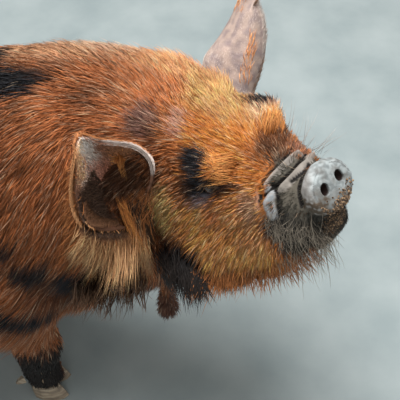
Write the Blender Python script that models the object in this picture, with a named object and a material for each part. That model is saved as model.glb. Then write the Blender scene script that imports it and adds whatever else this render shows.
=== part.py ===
# A kunekune pig, life size, standing with its head raised and turned to its right.
# Metres, +Z up. The pig faces +X, its left side is +Y, and its hooves stand on z = 0.
# The forms below are the skin. Each solid adds a core, half the depth of the coat, and the locks reach the tips.

import math
import random

import bmesh
import bpy
from mathutils import Matrix, Vector
from mathutils.bvhtree import BVHTree

# Gap between neighbouring nodes.
GAP = 0.0003
TOUCH = 0.00035

# Depth of the solid coat's core over the skin: trunk, head, legs.
CORE_TRUNK = 0.006
CORE_HEAD = 0.003
CORE_LEG = 0.003

# Sizes of the fused body's mesh.
VOXEL = 0.009
SMOOTH_STEPS = 6
BODY_FACES = 2200
BALL_SIDES = 20
EYE_SIDES = 12

# The trunk's skin, rump to nape: x, y, z of the middle, half width, half height.
TRUNK = (
    (-0.712, 0.0, 0.405, 0.030, 0.035),
    (-0.696, 0.0, 0.400, 0.088, 0.092),
    (-0.655, 0.0, 0.390, 0.130, 0.130),
    (-0.575, 0.0, 0.372, 0.158, 0.158),
    (-0.460, 0.0, 0.356, 0.176, 0.174),
    (-0.320, 0.0, 0.350, 0.186, 0.180),
    (-0.180, 0.0, 0.355, 0.178, 0.172),
    (-0.070, 0.0, 0.366, 0.164, 0.160),
    (0.000, 0.0, 0.378, 0.156, 0.155),
    (0.070, 0.004, 0.393, 0.142, 0.152),
    (0.135, 0.014, 0.408, 0.112, 0.146),
    (0.190, 0.004, 0.430, 0.094, 0.120),
    (0.235, -0.012, 0.446, 0.084, 0.104),
    (0.262, -0.025, 0.455, 0.060, 0.075),
)
TRUNK_SIDES = 28

# Muscle and fat over the trunk: middle, half sizes. Those with y > 0 are mirrored.
TRUNK_FORMS = (
    ((0.070, 0.000, 0.300), (0.110, 0.122, 0.108)),
    ((-0.010, 0.100, 0.330), (0.098, 0.064, 0.145)),
    ((-0.575, 0.092, 0.320), (0.118, 0.082, 0.155)),
    ((-0.300, 0.070, 0.235), (0.220, 0.075, 0.062)),
)

# The soft throat between chest and jaw: middle, half sizes.
THROAT = ((0.158, -0.022, 0.328), (0.088, 0.092, 0.094))

# Head: middle between the eyes, turn to the right, lift of the nose and roll, in degrees.
EYES_MIDDLE = Vector((0.296, -0.071, 0.493))
HEAD_TURN = -43.0
HEAD_LIFT = 20.0
HEAD_ROLL = 5.0

# The head's skin along its own axis: forward, middle height, half width, half height.
SKULL = (
    (-0.175, -0.034, 0.060, 0.060),
    (-0.150, -0.034, 0.080, 0.082),
    (-0.110, -0.034, 0.086, 0.089),
    (-0.060, -0.036, 0.086, 0.088),
    (-0.020, -0.040, 0.080, 0.080),
    (0.020, -0.043, 0.067, 0.066),
    (0.050, -0.042, 0.053, 0.051),
    (0.080, -0.038, 0.042, 0.043),
    (0.102, -0.034, 0.036, 0.041),
    (0.114, -0.032, 0.022, 0.027),
)
SKULL_SIDES = 24

# Forms of the head in its own axes (forward, left, up): middle, half sizes. Those off the middle are mirrored.
HEAD_FORMS = (
    ((-0.032, 0.052, -0.088), (0.070, 0.044, 0.060)),
    ((-0.012, 0.050, 0.024), (0.032, 0.017, 0.012)),
    ((0.030, 0.034, -0.078), (0.056, 0.036, 0.048)),
    ((0.074, 0.012, -0.066), (0.044, 0.027, 0.028)),
    ((0.085, 0.022, -0.030), (0.028, 0.017, 0.020)),
    ((-0.080, 0.030, 0.040), (0.040, 0.036, 0.020)),
)

# Snout disc: middle in the head's axes, half width, half height, depth, backward tilt in degrees.
DISC_MIDDLE = Vector((0.117, 0.0, -0.008))
DISC_HALF_WIDTH = 0.0325
DISC_HALF_HEIGHT = 0.028
DISC_DEPTH = 0.016
DISC_TILT = 22.0
NOSTRIL_APART = 0.0125
NOSTRIL_UP = 0.001
NOSTRIL_SIZE = (0.012, 0.0042, 0.0052)

# Mouth: the groove's height and radius, its middle and reach in the head's axes.
MOUTH_RADIUS = 0.0022
MOUTH_MIDDLE = Vector((0.062, 0.0, -0.050))
MOUTH_SPREAD = 108.0
MOUTH_RISE = 0.02
MOUTH_DROP = 0.36
MOUTH_POINTS = 17

# Eyes: middle in the head's axes, ball, lids and the slit between them.
EYE_MIDDLE = Vector((0.002, 0.0515, 0.000))
EYE_RADIUS = 0.0115
LID_THICK = 0.0030
EYE_SLIT = (0.0105, 0.012, 0.0052)
EYE_OUT = Vector((0.35, 0.93, 0.05))

# Ears: root in the head's axes, then length, width and cup of each, and its own axis and open side in world axes.
EAR_ROOT = Vector((-0.108, 0.084, -0.004))
EAR_THICK = 0.0042
EAR_SINK = 0.006
EAR_DROP = 0.016
EAR_ROWS = 9
EAR_COLUMNS = 10
EARS = {
    "ear_right": dict(side=-1, length=0.125, width=0.088, axis=(-0.354, -0.204, 0.913), open=(0.34, -0.93, -0.07)),
    "ear_left": dict(side=1, length=0.142, width=0.086, axis=(0.10, 0.62, 0.78), open=(0.55, 0.58, -0.60)),
}

# Wattles hang from the throat: x and y of each root, length, greatest radius.
WATTLES = {"wattle_left": (0.250, 0.026), "wattle_right": (0.203, -0.076)}
WATTLE_LENGTH = 0.086
WATTLE_RADIUS = 0.0145
WATTLE_LEAN = 0.006

# Legs: stations from the body down to the pastern, x and y from the hoof's middle, height, half depth, half width.
FORE_HOOF = (0.020, 0.090)
HIND_HOOF = (-0.590, 0.100)
FORE_LEG = (
    (-0.030, 0.004, 0.300, 0.066, 0.046),
    (-0.020, 0.004, 0.245, 0.055, 0.044),
    (-0.010, 0.003, 0.195, 0.041, 0.038),
    (-0.004, 0.001, 0.150, 0.034, 0.033),
    (0.000, 0.000, 0.115, 0.034, 0.033),
    (-0.004, 0.000, 0.080, 0.027, 0.027),
    (-0.004, 0.000, 0.052, 0.027, 0.028),
    (0.002, 0.000, 0.034, 0.030, 0.031),
)
HIND_LEG = (
    (0.030, -0.008, 0.320, 0.095, 0.056),
    (0.018, -0.006, 0.260, 0.076, 0.052),
    (-0.006, -0.003, 0.200, 0.052, 0.042),
    (-0.026, 0.000, 0.155, 0.037, 0.032),
    (-0.026, 0.000, 0.125, 0.034, 0.030),
    (-0.016, 0.000, 0.085, 0.027, 0.027),
    (-0.008, 0.000, 0.055, 0.027, 0.028),
    (0.002, 0.000, 0.034, 0.030, 0.031),
)
LEG_SIDES = 14

# Hooves: two claws side by side and two dewclaws behind.
CLAW_LENGTH = 0.052
CLAW_SIDES = 10
CLAW_WIDTH = 0.025
CLAW_APART = 0.0145
CLAW_TOP = 0.034
CLAW_SPLAY = 5.0
DEWCLAW_LENGTH = 0.022
DEWCLAW_RADIUS = 0.0075
DEWCLAW_HEIGHT = 0.060
DEWCLAW_BACK = 0.029
DEWCLAW_APART = 0.017

# Tail: a route from the rump, root and tip radius.
TAIL_ROUTE = (
    (-0.690, 0.000, 0.462),
    (-0.720, 0.002, 0.462),
    (-0.742, 0.006, 0.432),
    (-0.748, 0.007, 0.385),
    (-0.744, 0.002, 0.335),
    (-0.738, -0.004, 0.285),
)
TAIL_ROOT_RADIUS = 0.014
TAIL_TIP_RADIUS = 0.005

# Locks of the coat: how far apart they root, length, width and height of their tips over the core.
LOCKS = {
    "head": dict(apart=0.045, length=0.060, width=0.040, lift=0.008),
    "neck": dict(apart=0.047, length=0.084, width=0.048, lift=0.010),
    "torso": dict(apart=0.081, length=0.122, width=0.070, lift=0.011),
}
LOCK_THICK = 0.0085
LOCK_SINK = 0.006
LOCK_CLEAR = 0.0020
LOCK_TRIES = 2200
LOCK_BEND = 14.0

# Each ring of a lock: how far along it is, its share of the width, and its share of the lift.
LOCK_SHAPE = ((0.0, 0.75, 0.0), (0.36, 1.0, 0.55), (0.74, 0.66, 0.80))

# The head's locks root behind the eyes and under the jaw, and not in the cups of the ears.
HAIR_BEHIND = -0.045
HAIR_BELOW = -0.085
HAIR_AHEAD = 0.070
EAR_BARE = 0.052

# The lie of the coat, by the share of downward run on the flanks and the cheeks.
FLANK_FALL = 0.55
CHEEK_FALL = 1.1

# The fringe below each ear, from its rear root to its front one.
EAR_FRINGE = dict(count=5, length=0.068, width=0.024, lift=0.012)
FRINGE_REAR = Vector((-0.030, 0.020, -0.046))
FRINGE_FRONT = Vector((0.020, 0.020, -0.036))
FRINGE_SPREAD = 0.75

# Feathering behind each leg, and the tail's switch with how far up the tail it starts.
LEG_LOCKS = dict(heights=(0.105, 0.140, 0.175), length=0.046, width=0.022, lift=0.006)
TAIL_LOCKS = dict(count=5, length=0.085, width=0.020, lift=0.006)
SWITCH_START = 0.022

# Cuts: a point on each and the side it faces.
NECK_CUT = (Vector((0.055, 0.0, 0.39)), Vector((0.965, -0.05, 0.26)))
HEAD_CUT = (Vector((0.168, 0.02, 0.41)), Vector((0.90, -0.42, 0.12)))

COLOURS = {
    "coat": ((0.42, 0.17, 0.06), 0.75),
    "face": ((0.55, 0.20, 0.06), 0.75),
    "skin": ((0.16, 0.10, 0.08), 0.6),
    "horn": ((0.45, 0.38, 0.30), 0.5),
    "eye": ((0.03, 0.02, 0.015), 0.1),
}


def clear_scene():
    for obj in list(bpy.data.objects):
        bpy.data.objects.remove(obj, do_unlink=True)


def material(name, kind):
    colour, roughness = COLOURS[kind]
    made = bpy.data.materials.new(name)
    made.use_nodes = True
    shader = made.node_tree.nodes["Principled BSDF"]
    shader.inputs["Base Color"].default_value = (*colour, 1.0)
    shader.inputs["Roughness"].default_value = roughness
    shader.inputs["Metallic"].default_value = 0.0
    return made


def head_matrix():
    turn = Matrix.Rotation(math.radians(HEAD_TURN), 4, "Z")
    lift = Matrix.Rotation(math.radians(-HEAD_LIFT), 4, "Y")
    roll = Matrix.Rotation(math.radians(HEAD_ROLL), 4, "X")
    return Matrix.Translation(EYES_MIDDLE) @ turn @ lift @ roll


HEAD = head_matrix()


def to_object(name, bm, kind="coat"):
    """A new object from the bmesh, with outward normals and its own material."""
    bmesh.ops.recalc_face_normals(bm, faces=bm.faces)
    mesh = bpy.data.meshes.new(name)
    bm.to_mesh(mesh)
    bm.free()
    obj = bpy.data.objects.new(name, mesh)
    bpy.context.scene.collection.objects.link(obj)
    mesh.materials.append(material(name, kind))
    return obj


def remove(obj):
    bpy.data.objects.remove(obj, do_unlink=True)


def bake(obj):
    """Applies the object's modifiers."""
    graph = bpy.context.evaluated_depsgraph_get()
    mesh = bpy.data.meshes.new_from_object(obj.evaluated_get(graph))
    obj.modifiers.clear()
    obj.data = mesh


def smooth_curve(rows, steps):
    """Rows of numbers, read along a Catmull-Rom curve through them."""
    out = []
    last = len(rows) - 1
    for i in range(last):
        a, b, c, d = rows[max(i - 1, 0)], rows[i], rows[i + 1], rows[min(i + 2, last)]
        for k in range(steps):
            t = k / steps
            out.append(
                tuple(
                    0.5 * (2 * q + (r - p) * t + (2 * p - 5 * q + 4 * r - s) * t**2 + (3 * q - p - 3 * r + s) * t**3)
                    for p, q, r, s in zip(a, b, c, d)
                )
            )
    out.append(tuple(rows[last]))
    return out


def skin_rings(bm, rings):
    """Closes a row of rings, all with the same number of points, into one tube with a fan at each end."""
    made = [[bm.verts.new(p) for p in ring] for ring in rings]
    sides = len(made[0])
    for low, high in zip(made, made[1:]):
        for k in range(sides):
            bm.faces.new((low[k], low[(k + 1) % sides], high[(k + 1) % sides], high[k]))
    for ring in (made[0], made[-1]):
        middle = sum((v.co for v in ring), Vector()) / sides
        tip = bm.verts.new(middle)
        for k in range(sides):
            bm.faces.new((ring[k], ring[(k + 1) % sides], tip))


def ring(middle, across, up, sides):
    return [
        middle + across * math.cos(math.tau * k / sides) + up * math.sin(math.tau * k / sides) for k in range(sides)
    ]


def trunk_rings(grow):
    rows = smooth_curve(TRUNK, 3)
    rings = []
    for i, (x, y, z, half_width, half_height) in enumerate(rows):
        ahead, behind = rows[min(i + 1, len(rows) - 1)], rows[max(i - 1, 0)]
        along = (Vector(ahead[:3]) - Vector(behind[:3])).normalized()
        across = Vector((0, 0, 1)).cross(along).normalized()
        up = along.cross(across)
        rings.append(ring(Vector((x, y, z)), across * (half_width + grow), up * (half_height + grow), TRUNK_SIDES))
    return rings


def skull_rings(grow):
    rings = []
    for forward, height, half_width, half_height in smooth_curve(SKULL, 2):
        middle = Vector((forward, 0.0, height))
        flat = ring(middle, Vector((0, half_width + grow, 0)), Vector((0, 0, half_height + grow)), SKULL_SIDES)
        rings.append([HEAD @ p for p in flat])
    return rings


def ball(bm, middle, sizes, frame=None, sides=BALL_SIDES):
    """An ellipsoid of these half sizes."""
    place = (frame or Matrix()) @ Matrix.Translation(middle) @ Matrix.Diagonal((*sizes, 1.0))
    bmesh.ops.create_uvsphere(bm, u_segments=sides, v_segments=sides * 3 // 5, radius=1.0, matrix=place)


def mirrored(middle):
    yield Vector(middle)
    if abs(middle[1]) > 1e-6:
        yield Vector((middle[0], -middle[1], middle[2]))


def disc_frame():
    tilt = Matrix.Rotation(math.radians(-DISC_TILT), 4, "Y")
    return HEAD @ Matrix.Translation(DISC_MIDDLE) @ tilt


def snout_disc(bm, grow):
    """The flat round plate of the snout, with a rounded rim."""
    frame = disc_frame()
    rim = ((-DISC_DEPTH, 0.80), (-DISC_DEPTH * 0.45, 0.97), (0.0, 1.0), (0.004, 0.97), (0.0065, 0.86))
    rings = []
    for forward, share in rim:
        across = Vector((0, (DISC_HALF_WIDTH + grow) * share, 0))
        up = Vector((0, 0, (DISC_HALF_HEIGHT + grow) * share))
        rings.append([frame @ p for p in ring(Vector((forward, 0, 0)), across, up, SKULL_SIDES)])
    skin_rings(bm, rings)


def body_solid():
    """Trunk, neck and head as one smooth closed surface."""
    bm = bmesh.new()
    skin_rings(bm, trunk_rings(CORE_TRUNK))
    skin_rings(bm, skull_rings(CORE_HEAD))
    snout_disc(bm, 0.0)
    for middle, sizes in TRUNK_FORMS:
        for place in mirrored(middle):
            ball(bm, place, [s + CORE_TRUNK for s in sizes])
    ball(bm, Vector(THROAT[0]), [s + CORE_TRUNK for s in THROAT[1]])
    for middle, sizes in HEAD_FORMS:
        for place in mirrored(middle):
            ball(bm, place, [s + CORE_HEAD for s in sizes], HEAD)
    for place in mirrored(EYE_MIDDLE):
        ball(bm, place, [EYE_RADIUS + LID_THICK] * 3, HEAD)
    body = to_object("body", bm)
    fuse = body.modifiers.new("Fuse", "REMESH")
    fuse.mode = "VOXEL"
    fuse.voxel_size = VOXEL
    soften = body.modifiers.new("Soften", "SMOOTH")
    soften.factor = 0.5
    soften.iterations = SMOOTH_STEPS
    bake(body)
    thin = body.modifiers.new("Thin", "DECIMATE")
    thin.ratio = BODY_FACES / (2 * len(body.data.polygons))
    bake(body)
    return body


def boolean(obj, other, operation="DIFFERENCE"):
    """Cuts obj by other, or joins it, and removes other."""
    cut = obj.modifiers.new("Cut", "BOOLEAN")
    cut.operation = operation
    cut.solver = "EXACT"
    cut.object = other
    bake(obj)
    remove(other)


def join_pieces(obj, pieces):
    """One union of obj with all its pieces."""
    if not pieces:
        return
    group = bpy.data.collections.new(obj.name + "_pieces")
    bpy.context.scene.collection.children.link(group)
    for piece in pieces:
        bpy.context.scene.collection.objects.unlink(piece)
        group.objects.link(piece)
    union = obj.modifiers.new("Join", "BOOLEAN")
    union.operation = "UNION"
    union.operand_type = "COLLECTION"
    union.collection = group
    union.solver = "MANIFOLD"
    bake(obj)
    for piece in list(group.objects):
        remove(piece)
    bpy.data.collections.remove(group)
    keep_largest(obj)


def keep_largest(obj):
    """Keeps the closed surface with the largest area."""
    bm = bmesh.new()
    bm.from_mesh(obj.data)
    bm.faces.ensure_lookup_table()
    islands = []
    seen = set()
    for face in bm.faces:
        if face.index in seen:
            continue
        island = [face]
        seen.add(face.index)
        for one in island:
            for edge in one.edges:
                for other in edge.link_faces:
                    if other.index not in seen:
                        seen.add(other.index)
                        island.append(other)
        islands.append(island)
    keep = max(islands, key=lambda island: sum(f.calc_area() for f in island))
    drop = [f for island in islands if island is not keep for f in island]
    bmesh.ops.delete(bm, geom=drop, context="FACES")
    bmesh.ops.triangulate(bm, faces=bm.faces)
    bm.to_mesh(obj.data)
    bm.free()


def copy_of(obj, name):
    made = bpy.data.objects.new(name, obj.data.copy())
    bpy.context.scene.collection.objects.link(made)
    return made


def cut_plane(obj, point, side):
    """Keeps the part of obj on the side the normal points to, closed by a flat face."""
    bm = bmesh.new()
    bm.from_mesh(obj.data)
    everything = list(bm.verts) + list(bm.edges) + list(bm.faces)
    bmesh.ops.bisect_plane(bm, geom=everything, plane_co=point, plane_no=side, clear_inner=True, dist=1e-6)
    rim = [e for e in bm.edges if e.is_boundary]
    bmesh.ops.triangle_fill(bm, use_beauty=True, use_dissolve=False, edges=rim)
    bmesh.ops.recalc_face_normals(bm, faces=bm.faces)
    bm.to_mesh(obj.data)
    bm.free()


def grown(obj, distance):
    """A copy of obj whose surface lies outward by this distance, to cut a neighbour with."""
    made = copy_of(obj, obj.name + "_cutter")
    swell = made.modifiers.new("Swell", "DISPLACE")
    swell.strength = distance
    swell.mid_level = 0.0
    bake(made)
    return made


def divide_body(body):
    """Torso, neck and head, parted by thin flat cuts."""
    neck_point, neck_side = NECK_CUT
    neck_side = neck_side.normalized()
    head_point, head_side = HEAD_CUT
    head_side = head_side.normalized()
    half = GAP / 2
    torso = copy_of(body, "torso")
    cut_plane(torso, neck_point - neck_side * half, -neck_side)
    neck = copy_of(body, "neck")
    cut_plane(neck, neck_point + neck_side * half, neck_side)
    cut_plane(neck, head_point - head_side * half, -head_side)
    head = copy_of(body, "head")
    cut_plane(head, head_point + head_side * half, head_side)
    remove(body)
    for obj, kind in ((torso, "coat"), (neck, "coat"), (head, "face")):
        keep_largest(obj)
        obj.data.materials.clear()
        obj.data.materials.append(material(obj.name, kind))
    return torso, neck, head


def nostrils(head):
    frame = disc_frame()
    for side in (-1, 1):
        bm = bmesh.new()
        ball(bm, Vector((0.006, side * NOSTRIL_APART, NOSTRIL_UP)), NOSTRIL_SIZE, frame, EYE_SIDES)
        boolean(head, to_object("nostril", bm))


def mouth(head):
    """A groove along the line of the lips, from corner to corner round the front."""
    tree = tree_of(head)
    middle = HEAD @ MOUTH_MIDDLE
    route = []
    for k in range(MOUTH_POINTS):
        share = 2 * k / (MOUTH_POINTS - 1) - 1
        angle = math.radians(share * MOUTH_SPREAD)
        out = Vector((math.cos(angle), math.sin(angle), MOUTH_RISE - MOUTH_DROP * share * share))
        hit = tree.ray_cast(middle, (HEAD.to_3x3() @ out).normalized())
        if hit[0] is not None:
            route.append(hit[0])
    bm = bmesh.new()
    rings = []
    for i, point in enumerate(route):
        along = (route[min(i + 1, len(route) - 1)] - route[max(i - 1, 0)]).normalized()
        out = (point - middle).normalized()
        up = along.cross(out).normalized()
        taper = 0.35 if i in (0, len(route) - 1) else 1.0
        rings.append(ring(point, up * MOUTH_RADIUS * taper, out * MOUTH_RADIUS * 2.2 * taper, 8))
    skin_rings(bm, rings)
    boolean(head, to_object("mouth", bm))


def eyes(head):
    """Balls in sockets, with lids round a slit."""
    made = []
    for name, side in (("eye_left", 1), ("eye_right", -1)):
        middle = Vector((EYE_MIDDLE.x, EYE_MIDDLE.y * side, EYE_MIDDLE.z))
        out = Vector((EYE_OUT.x, EYE_OUT.y * side, EYE_OUT.z)).normalized()
        turn = out.to_track_quat("Y", "Z").to_matrix().to_4x4()
        frame = HEAD @ Matrix.Translation(middle)
        bm = bmesh.new()
        ball(bm, Vector(), [EYE_RADIUS + TOUCH] * 3, frame, EYE_SIDES)
        boolean(head, to_object("socket", bm))
        bm = bmesh.new()
        ball(bm, Vector((0, EYE_RADIUS + LID_THICK, 0)), EYE_SLIT, frame @ turn, EYE_SIDES)
        boolean(head, to_object("slit", bm))
        bm = bmesh.new()
        ball(bm, Vector(), [EYE_RADIUS] * 3, frame, EYE_SIDES)
        made.append(to_object(name, bm, "eye"))
    return made


def ear_point(spec, u, v):
    """A point of the ear's middle sheet: u from front margin -1 to rear margin 1, v from root 0 to tip 1."""
    wide = spec["width"] / 2 * (0.62 + 1.05 * v - 0.55 * v * v) * math.sqrt(max(1.0 - v**3.0, 0.0)) + 0.004
    curl = math.radians(128 - 62 * v)
    radius = wide / math.sin(min(curl, math.pi / 2)) * (0.80 + 0.2 * v)
    angle = u * curl
    across = radius * math.sin(angle)
    deep = radius * (1 - math.cos(angle))
    return across, deep, v * spec["length"]


def ear_frame(name):
    spec = EARS[name]
    root = HEAD @ Vector((EAR_ROOT.x, EAR_ROOT.y * spec["side"], EAR_ROOT.z))
    axis = Vector(spec["axis"]).normalized()
    face = Vector(spec["open"])
    face = (face - axis * face.dot(axis)).normalized()
    across = face.cross(axis) * -spec["side"]
    return root, axis, face, across


def ear_solid(name):
    """A cupped leaf of even thickness that thins to its edge."""
    spec = EARS[name]
    root, axis, face, across = ear_frame(name)
    rows = []
    for j in range(EAR_ROWS + 1):
        v = j / EAR_ROWS
        row = []
        for i in range(EAR_COLUMNS + 1):
            u = 2 * i / EAR_COLUMNS - 1
            a, d, h = ear_point(spec, u, min(v, 0.995))
            row.append(root + across * a + face * (d - EAR_SINK) + axis * (h - EAR_DROP))
        rows.append(row)
    bm = bmesh.new()
    verts = [[bm.verts.new(p) for p in row] for row in rows]
    for low, high in zip(verts, verts[1:]):
        for i in range(EAR_COLUMNS):
            bm.faces.new((low[i], low[i + 1], high[i + 1], high[i]))
    obj = to_object(name, bm, "skin")
    shell = obj.modifiers.new("Thickness", "SOLIDIFY")
    shell.thickness = EAR_THICK
    shell.offset = 0.0
    shell.use_even_offset = False
    bake(obj)
    bm = bmesh.new()
    bm.from_mesh(obj.data)
    bmesh.ops.recalc_face_normals(bm, faces=bm.faces)
    bm.to_mesh(obj.data)
    bm.free()
    return obj


def ears(head, neck):
    made = []
    for name in EARS:
        ear = ear_solid(name)
        boolean(ear, grown(head, TOUCH))
        boolean(ear, grown(neck, TOUCH))
        keep_largest(ear)
        made.append(ear)
    return made


def tube(name, route, radii, sides, kind):
    """A round tube along a route, with a radius at each point."""
    bm = bmesh.new()
    rings = []
    side = Vector((0, 1, 0))
    for i, point in enumerate(route):
        along = (route[min(i + 1, len(route) - 1)] - route[max(i - 1, 0)]).normalized()
        across = (side - along * side.dot(along)).normalized()
        up = along.cross(across)
        rings.append(ring(point, across * radii[i], up * radii[i], sides))
    skin_rings(bm, rings)
    return to_object(name, bm, kind)


def tree_of(obj):
    return BVHTree.FromPolygons([v.co.copy() for v in obj.data.vertices], [p.vertices[:] for p in obj.data.polygons])


def wattles(head):
    """Bulbs on a thinner stalk, hanging plumb from where the throat is above them."""
    made = []
    tree = tree_of(head)
    for name, (x, y) in WATTLES.items():
        top = tree.ray_cast(Vector((x, y, 0.0)), Vector((0, 0, 1)))[0]
        shares = (-0.30, 0.0, 0.20, 0.42, 0.62, 0.80, 0.93, 1.0)
        bulge = (0.72, 0.62, 0.62, 0.78, 1.0, 0.98, 0.62, 0.20)
        route = [top + Vector((WATTLE_LEAN * s * s, 0, -WATTLE_LENGTH * s)) for s in shares]
        wattle = tube(name, route, [WATTLE_RADIUS * b for b in bulge], 12, "skin")
        boolean(wattle, grown(head, TOUCH))
        keep_largest(wattle)
        made.append(wattle)
    return made


def legs(torso):
    made = []
    for which, stations, hoof in (("fore", FORE_LEG, FORE_HOOF), ("hind", HIND_LEG, HIND_HOOF)):
        for side_name, side in (("left", 1), ("right", -1)):
            rings = []
            for x, y, z, half_depth, half_width in smooth_curve(stations, 2):
                middle = Vector((hoof[0] + x, (hoof[1] + y) * side, z))
                across = Vector((half_depth + CORE_LEG, 0, 0))
                rings.append(ring(middle, across, Vector((0, half_width + CORE_LEG, 0)), LEG_SIDES))
            bm = bmesh.new()
            skin_rings(bm, rings)
            leg = to_object(f"leg_{which}_{side_name}", bm)
            boolean(leg, grown(torso, TOUCH))
            keep_largest(leg)
            made.append(leg)
    return made


def claw(name, middle, turn):
    """One half of a hoof: a flat sole, a rounded wall and a pointed toe."""
    frame = Matrix.Translation(middle) @ Matrix.Rotation(math.radians(turn), 4, "Z")
    outline = []
    steps = CLAW_SIDES
    for k in range(steps):
        angle = math.tau * k / steps
        forward = math.cos(angle)
        toe = 1.0 - 0.32 * max(forward, 0.0) ** 2
        outline.append(Vector((forward * CLAW_LENGTH / 2, math.sin(angle) * CLAW_WIDTH / 2 * toe, 0)))
    heights = ((0.0, 1.0, 0.0), (0.003, 1.04, 0.0), (0.018, 0.96, -0.003), (CLAW_TOP - TOUCH, 0.80, -0.006))
    bm = bmesh.new()
    rings = [[frame @ (p * share + Vector((back, 0, z))) for p in outline] for z, share, back in heights]
    skin_rings(bm, rings)
    return to_object(name, bm, "horn")


def hooves(legs_made):
    made = []
    for leg in legs_made:
        _, which, side_name = leg.name.split("_")
        side = 1 if side_name == "left" else -1
        hoof = FORE_HOOF if which == "fore" else HIND_HOOF
        middle = Vector((hoof[0] + 0.006, hoof[1] * side, 0.0))
        for part, out in (("inner", -side), ("outer", side)):
            place = middle + Vector((0, out * CLAW_APART, 0))
            made.append(claw(f"claw_{which}_{side_name}_{part}", place, CLAW_SPLAY * out))
            root = middle + Vector((-DEWCLAW_BACK + 0.012, out * DEWCLAW_APART, DEWCLAW_HEIGHT))
            route = [root + Vector((-0.006 - DEWCLAW_LENGTH * s, out * 0.003 * s, -0.016 * s)) for s in (0.0, 0.4, 0.8, 1.0)]
            radii = [DEWCLAW_RADIUS * r for r in (1.0, 0.95, 0.65, 0.25)]
            dewclaw = tube(f"dewclaw_{which}_{side_name}_{part}", route, radii, 6, "horn")
            boolean(dewclaw, grown(leg, TOUCH))
            keep_largest(dewclaw)
            made.append(dewclaw)
    return made


def tail(torso):
    rows = smooth_curve(TAIL_ROUTE, 3)
    route = [Vector(p) for p in rows]
    last = len(route) - 1
    radii = [TAIL_ROOT_RADIUS + (TAIL_TIP_RADIUS - TAIL_ROOT_RADIUS) * i / last for i in range(len(route))]
    made = tube("tail", route, radii, 8, "coat")
    boolean(made, grown(torso, TOUCH))
    keep_largest(made)
    return made


def lie(point, normal):
    """The way the coat lies at a point: from the snout back over the head, then back and down along the body."""
    local = HEAD.inverted() @ point
    on_head = min(max((local.x + 0.16) / 0.06, 0.0), 1.0)
    flank = math.sqrt(max(1.0 - normal.z * normal.z, 0.0))
    body_way = Vector((-1.0, 0.0, -FLANK_FALL * flank))
    low = min(max((-local.z - 0.01) / 0.10, 0.0), 1.0)
    head_way = HEAD.to_3x3() @ Vector((-1.0, 0.25 * math.copysign(1.0, local.y), 0.15 - CHEEK_FALL * low))
    way = body_way.lerp(head_way, on_head)
    return along_surface(way, normal)


def along_surface(way, normal):
    return (way - normal * way.dot(normal)).normalized()


def lock_shell(centres, sides, ups, width, thick):
    """A lock's corners and faces: flat rings of four along a bent line, closed at the root and drawn to a tip."""
    verts = []
    for (_, share, _), centre, side, up in zip(LOCK_SHAPE, centres, sides, ups):
        across = side * (width * share / 2)
        deep = up * (thick * (0.55 + 0.45 * share) / 2)
        verts += [centre + across, centre + deep, centre - across, centre - deep]
    verts.append(centres[-1])
    faces = [(3, 2, 1), (3, 1, 0)]
    last = len(LOCK_SHAPE) - 1
    for row in range(last + 1):
        for k in range(4):
            a, b = row * 4 + k, row * 4 + (k + 1) % 4
            if row == last:
                faces.append((a, b, len(verts) - 1))
            else:
                faces += [(a, b, b + 4), (a, b + 4, a + 4)]
    return verts, faces


def lock_mesh(shell):
    bm = bmesh.new()
    verts = [bm.verts.new(p) for p in shell[0]]
    for face in shell[1]:
        bm.faces.new([verts[i] for i in face])
    return to_object("lock", bm)


def lock_line(tree, root, normal, way, size, stretch, bend):
    """The line of a lock that leaves the surface at its root and follows it, lifted, along the coat's lie."""
    place, up = root, normal
    centres, sides, ups = [], [], []
    travelled = 0.0
    for share, _, rise in LOCK_SHAPE + ((1.0, 0.0, 1.0),):
        step = share - travelled
        travelled = share
        way = Matrix.Rotation(math.radians(bend * step), 3, up) @ way
        near = tree.find_nearest(place + way * step * size["length"] * stretch)
        place, up = near[0], near[1]
        way = along_surface(way, up)
        centres.append(place + up * (-LOCK_SINK if share == 0.0 else size["lift"] * rise))
        sides.append(way.cross(up).normalized())
        ups.append(up)
    return centres, sides, ups


def is_clear(shell, trees):
    """Whether a lock, made a little fatter, meets none of the other nodes."""
    tree = BVHTree.FromPolygons(*shell)
    return not any(tree.overlap(other) for other in trees)


def fit_lock(surface, trees, root, normal, way, size):
    """A lock at this root, shortened where it would come near another node, or None."""
    bend = random.uniform(-LOCK_BEND, LOCK_BEND)
    width = size["width"] * random.uniform(0.85, 1.15)
    for stretch in (random.uniform(0.92, 1.12), 0.8, 0.62):
        line = lock_line(surface, root, normal, way, size, stretch, bend)
        if is_clear(lock_shell(*line, width + 2 * LOCK_CLEAR, LOCK_THICK + 2 * LOCK_CLEAR), trees):
            return lock_mesh(lock_shell(*line, width, LOCK_THICK))
    return None


def roots_on(obj, surface, apart):
    """Points spread evenly over the part of the object that lies on the body's surface, with their normals."""
    faces = list(obj.data.polygons)
    picked = random.choices(faces, weights=[f.area for f in faces], k=LOCK_TRIES)
    roots = []
    for face in picked:
        a, b, c = (obj.data.vertices[i].co for i in face.vertices[:3])
        r, t = math.sqrt(random.random()), random.random()
        point = a * (1 - r) + b * r * (1 - t) + c * r * t
        on_cut = surface.find_nearest(point)[3] > GAP * 2
        if not on_cut and wanted(obj.name, point) and all((point - other).length > apart for other, _ in roots):
            roots.append((point, face.normal.copy()))
    return roots


def wanted(name, point):
    """Whether a lock may root here: the face in front of the eyes has only short hair, the cups of the ears none."""
    if name != "head":
        return True
    local = HEAD.inverted() @ point
    by_ear = (Vector((local.x, abs(local.y), local.z)) - EAR_ROOT).length < EAR_BARE
    return not by_ear and (local.x < HAIR_BEHIND or (local.z < HAIR_BELOW and local.x < HAIR_AHEAD))


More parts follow.
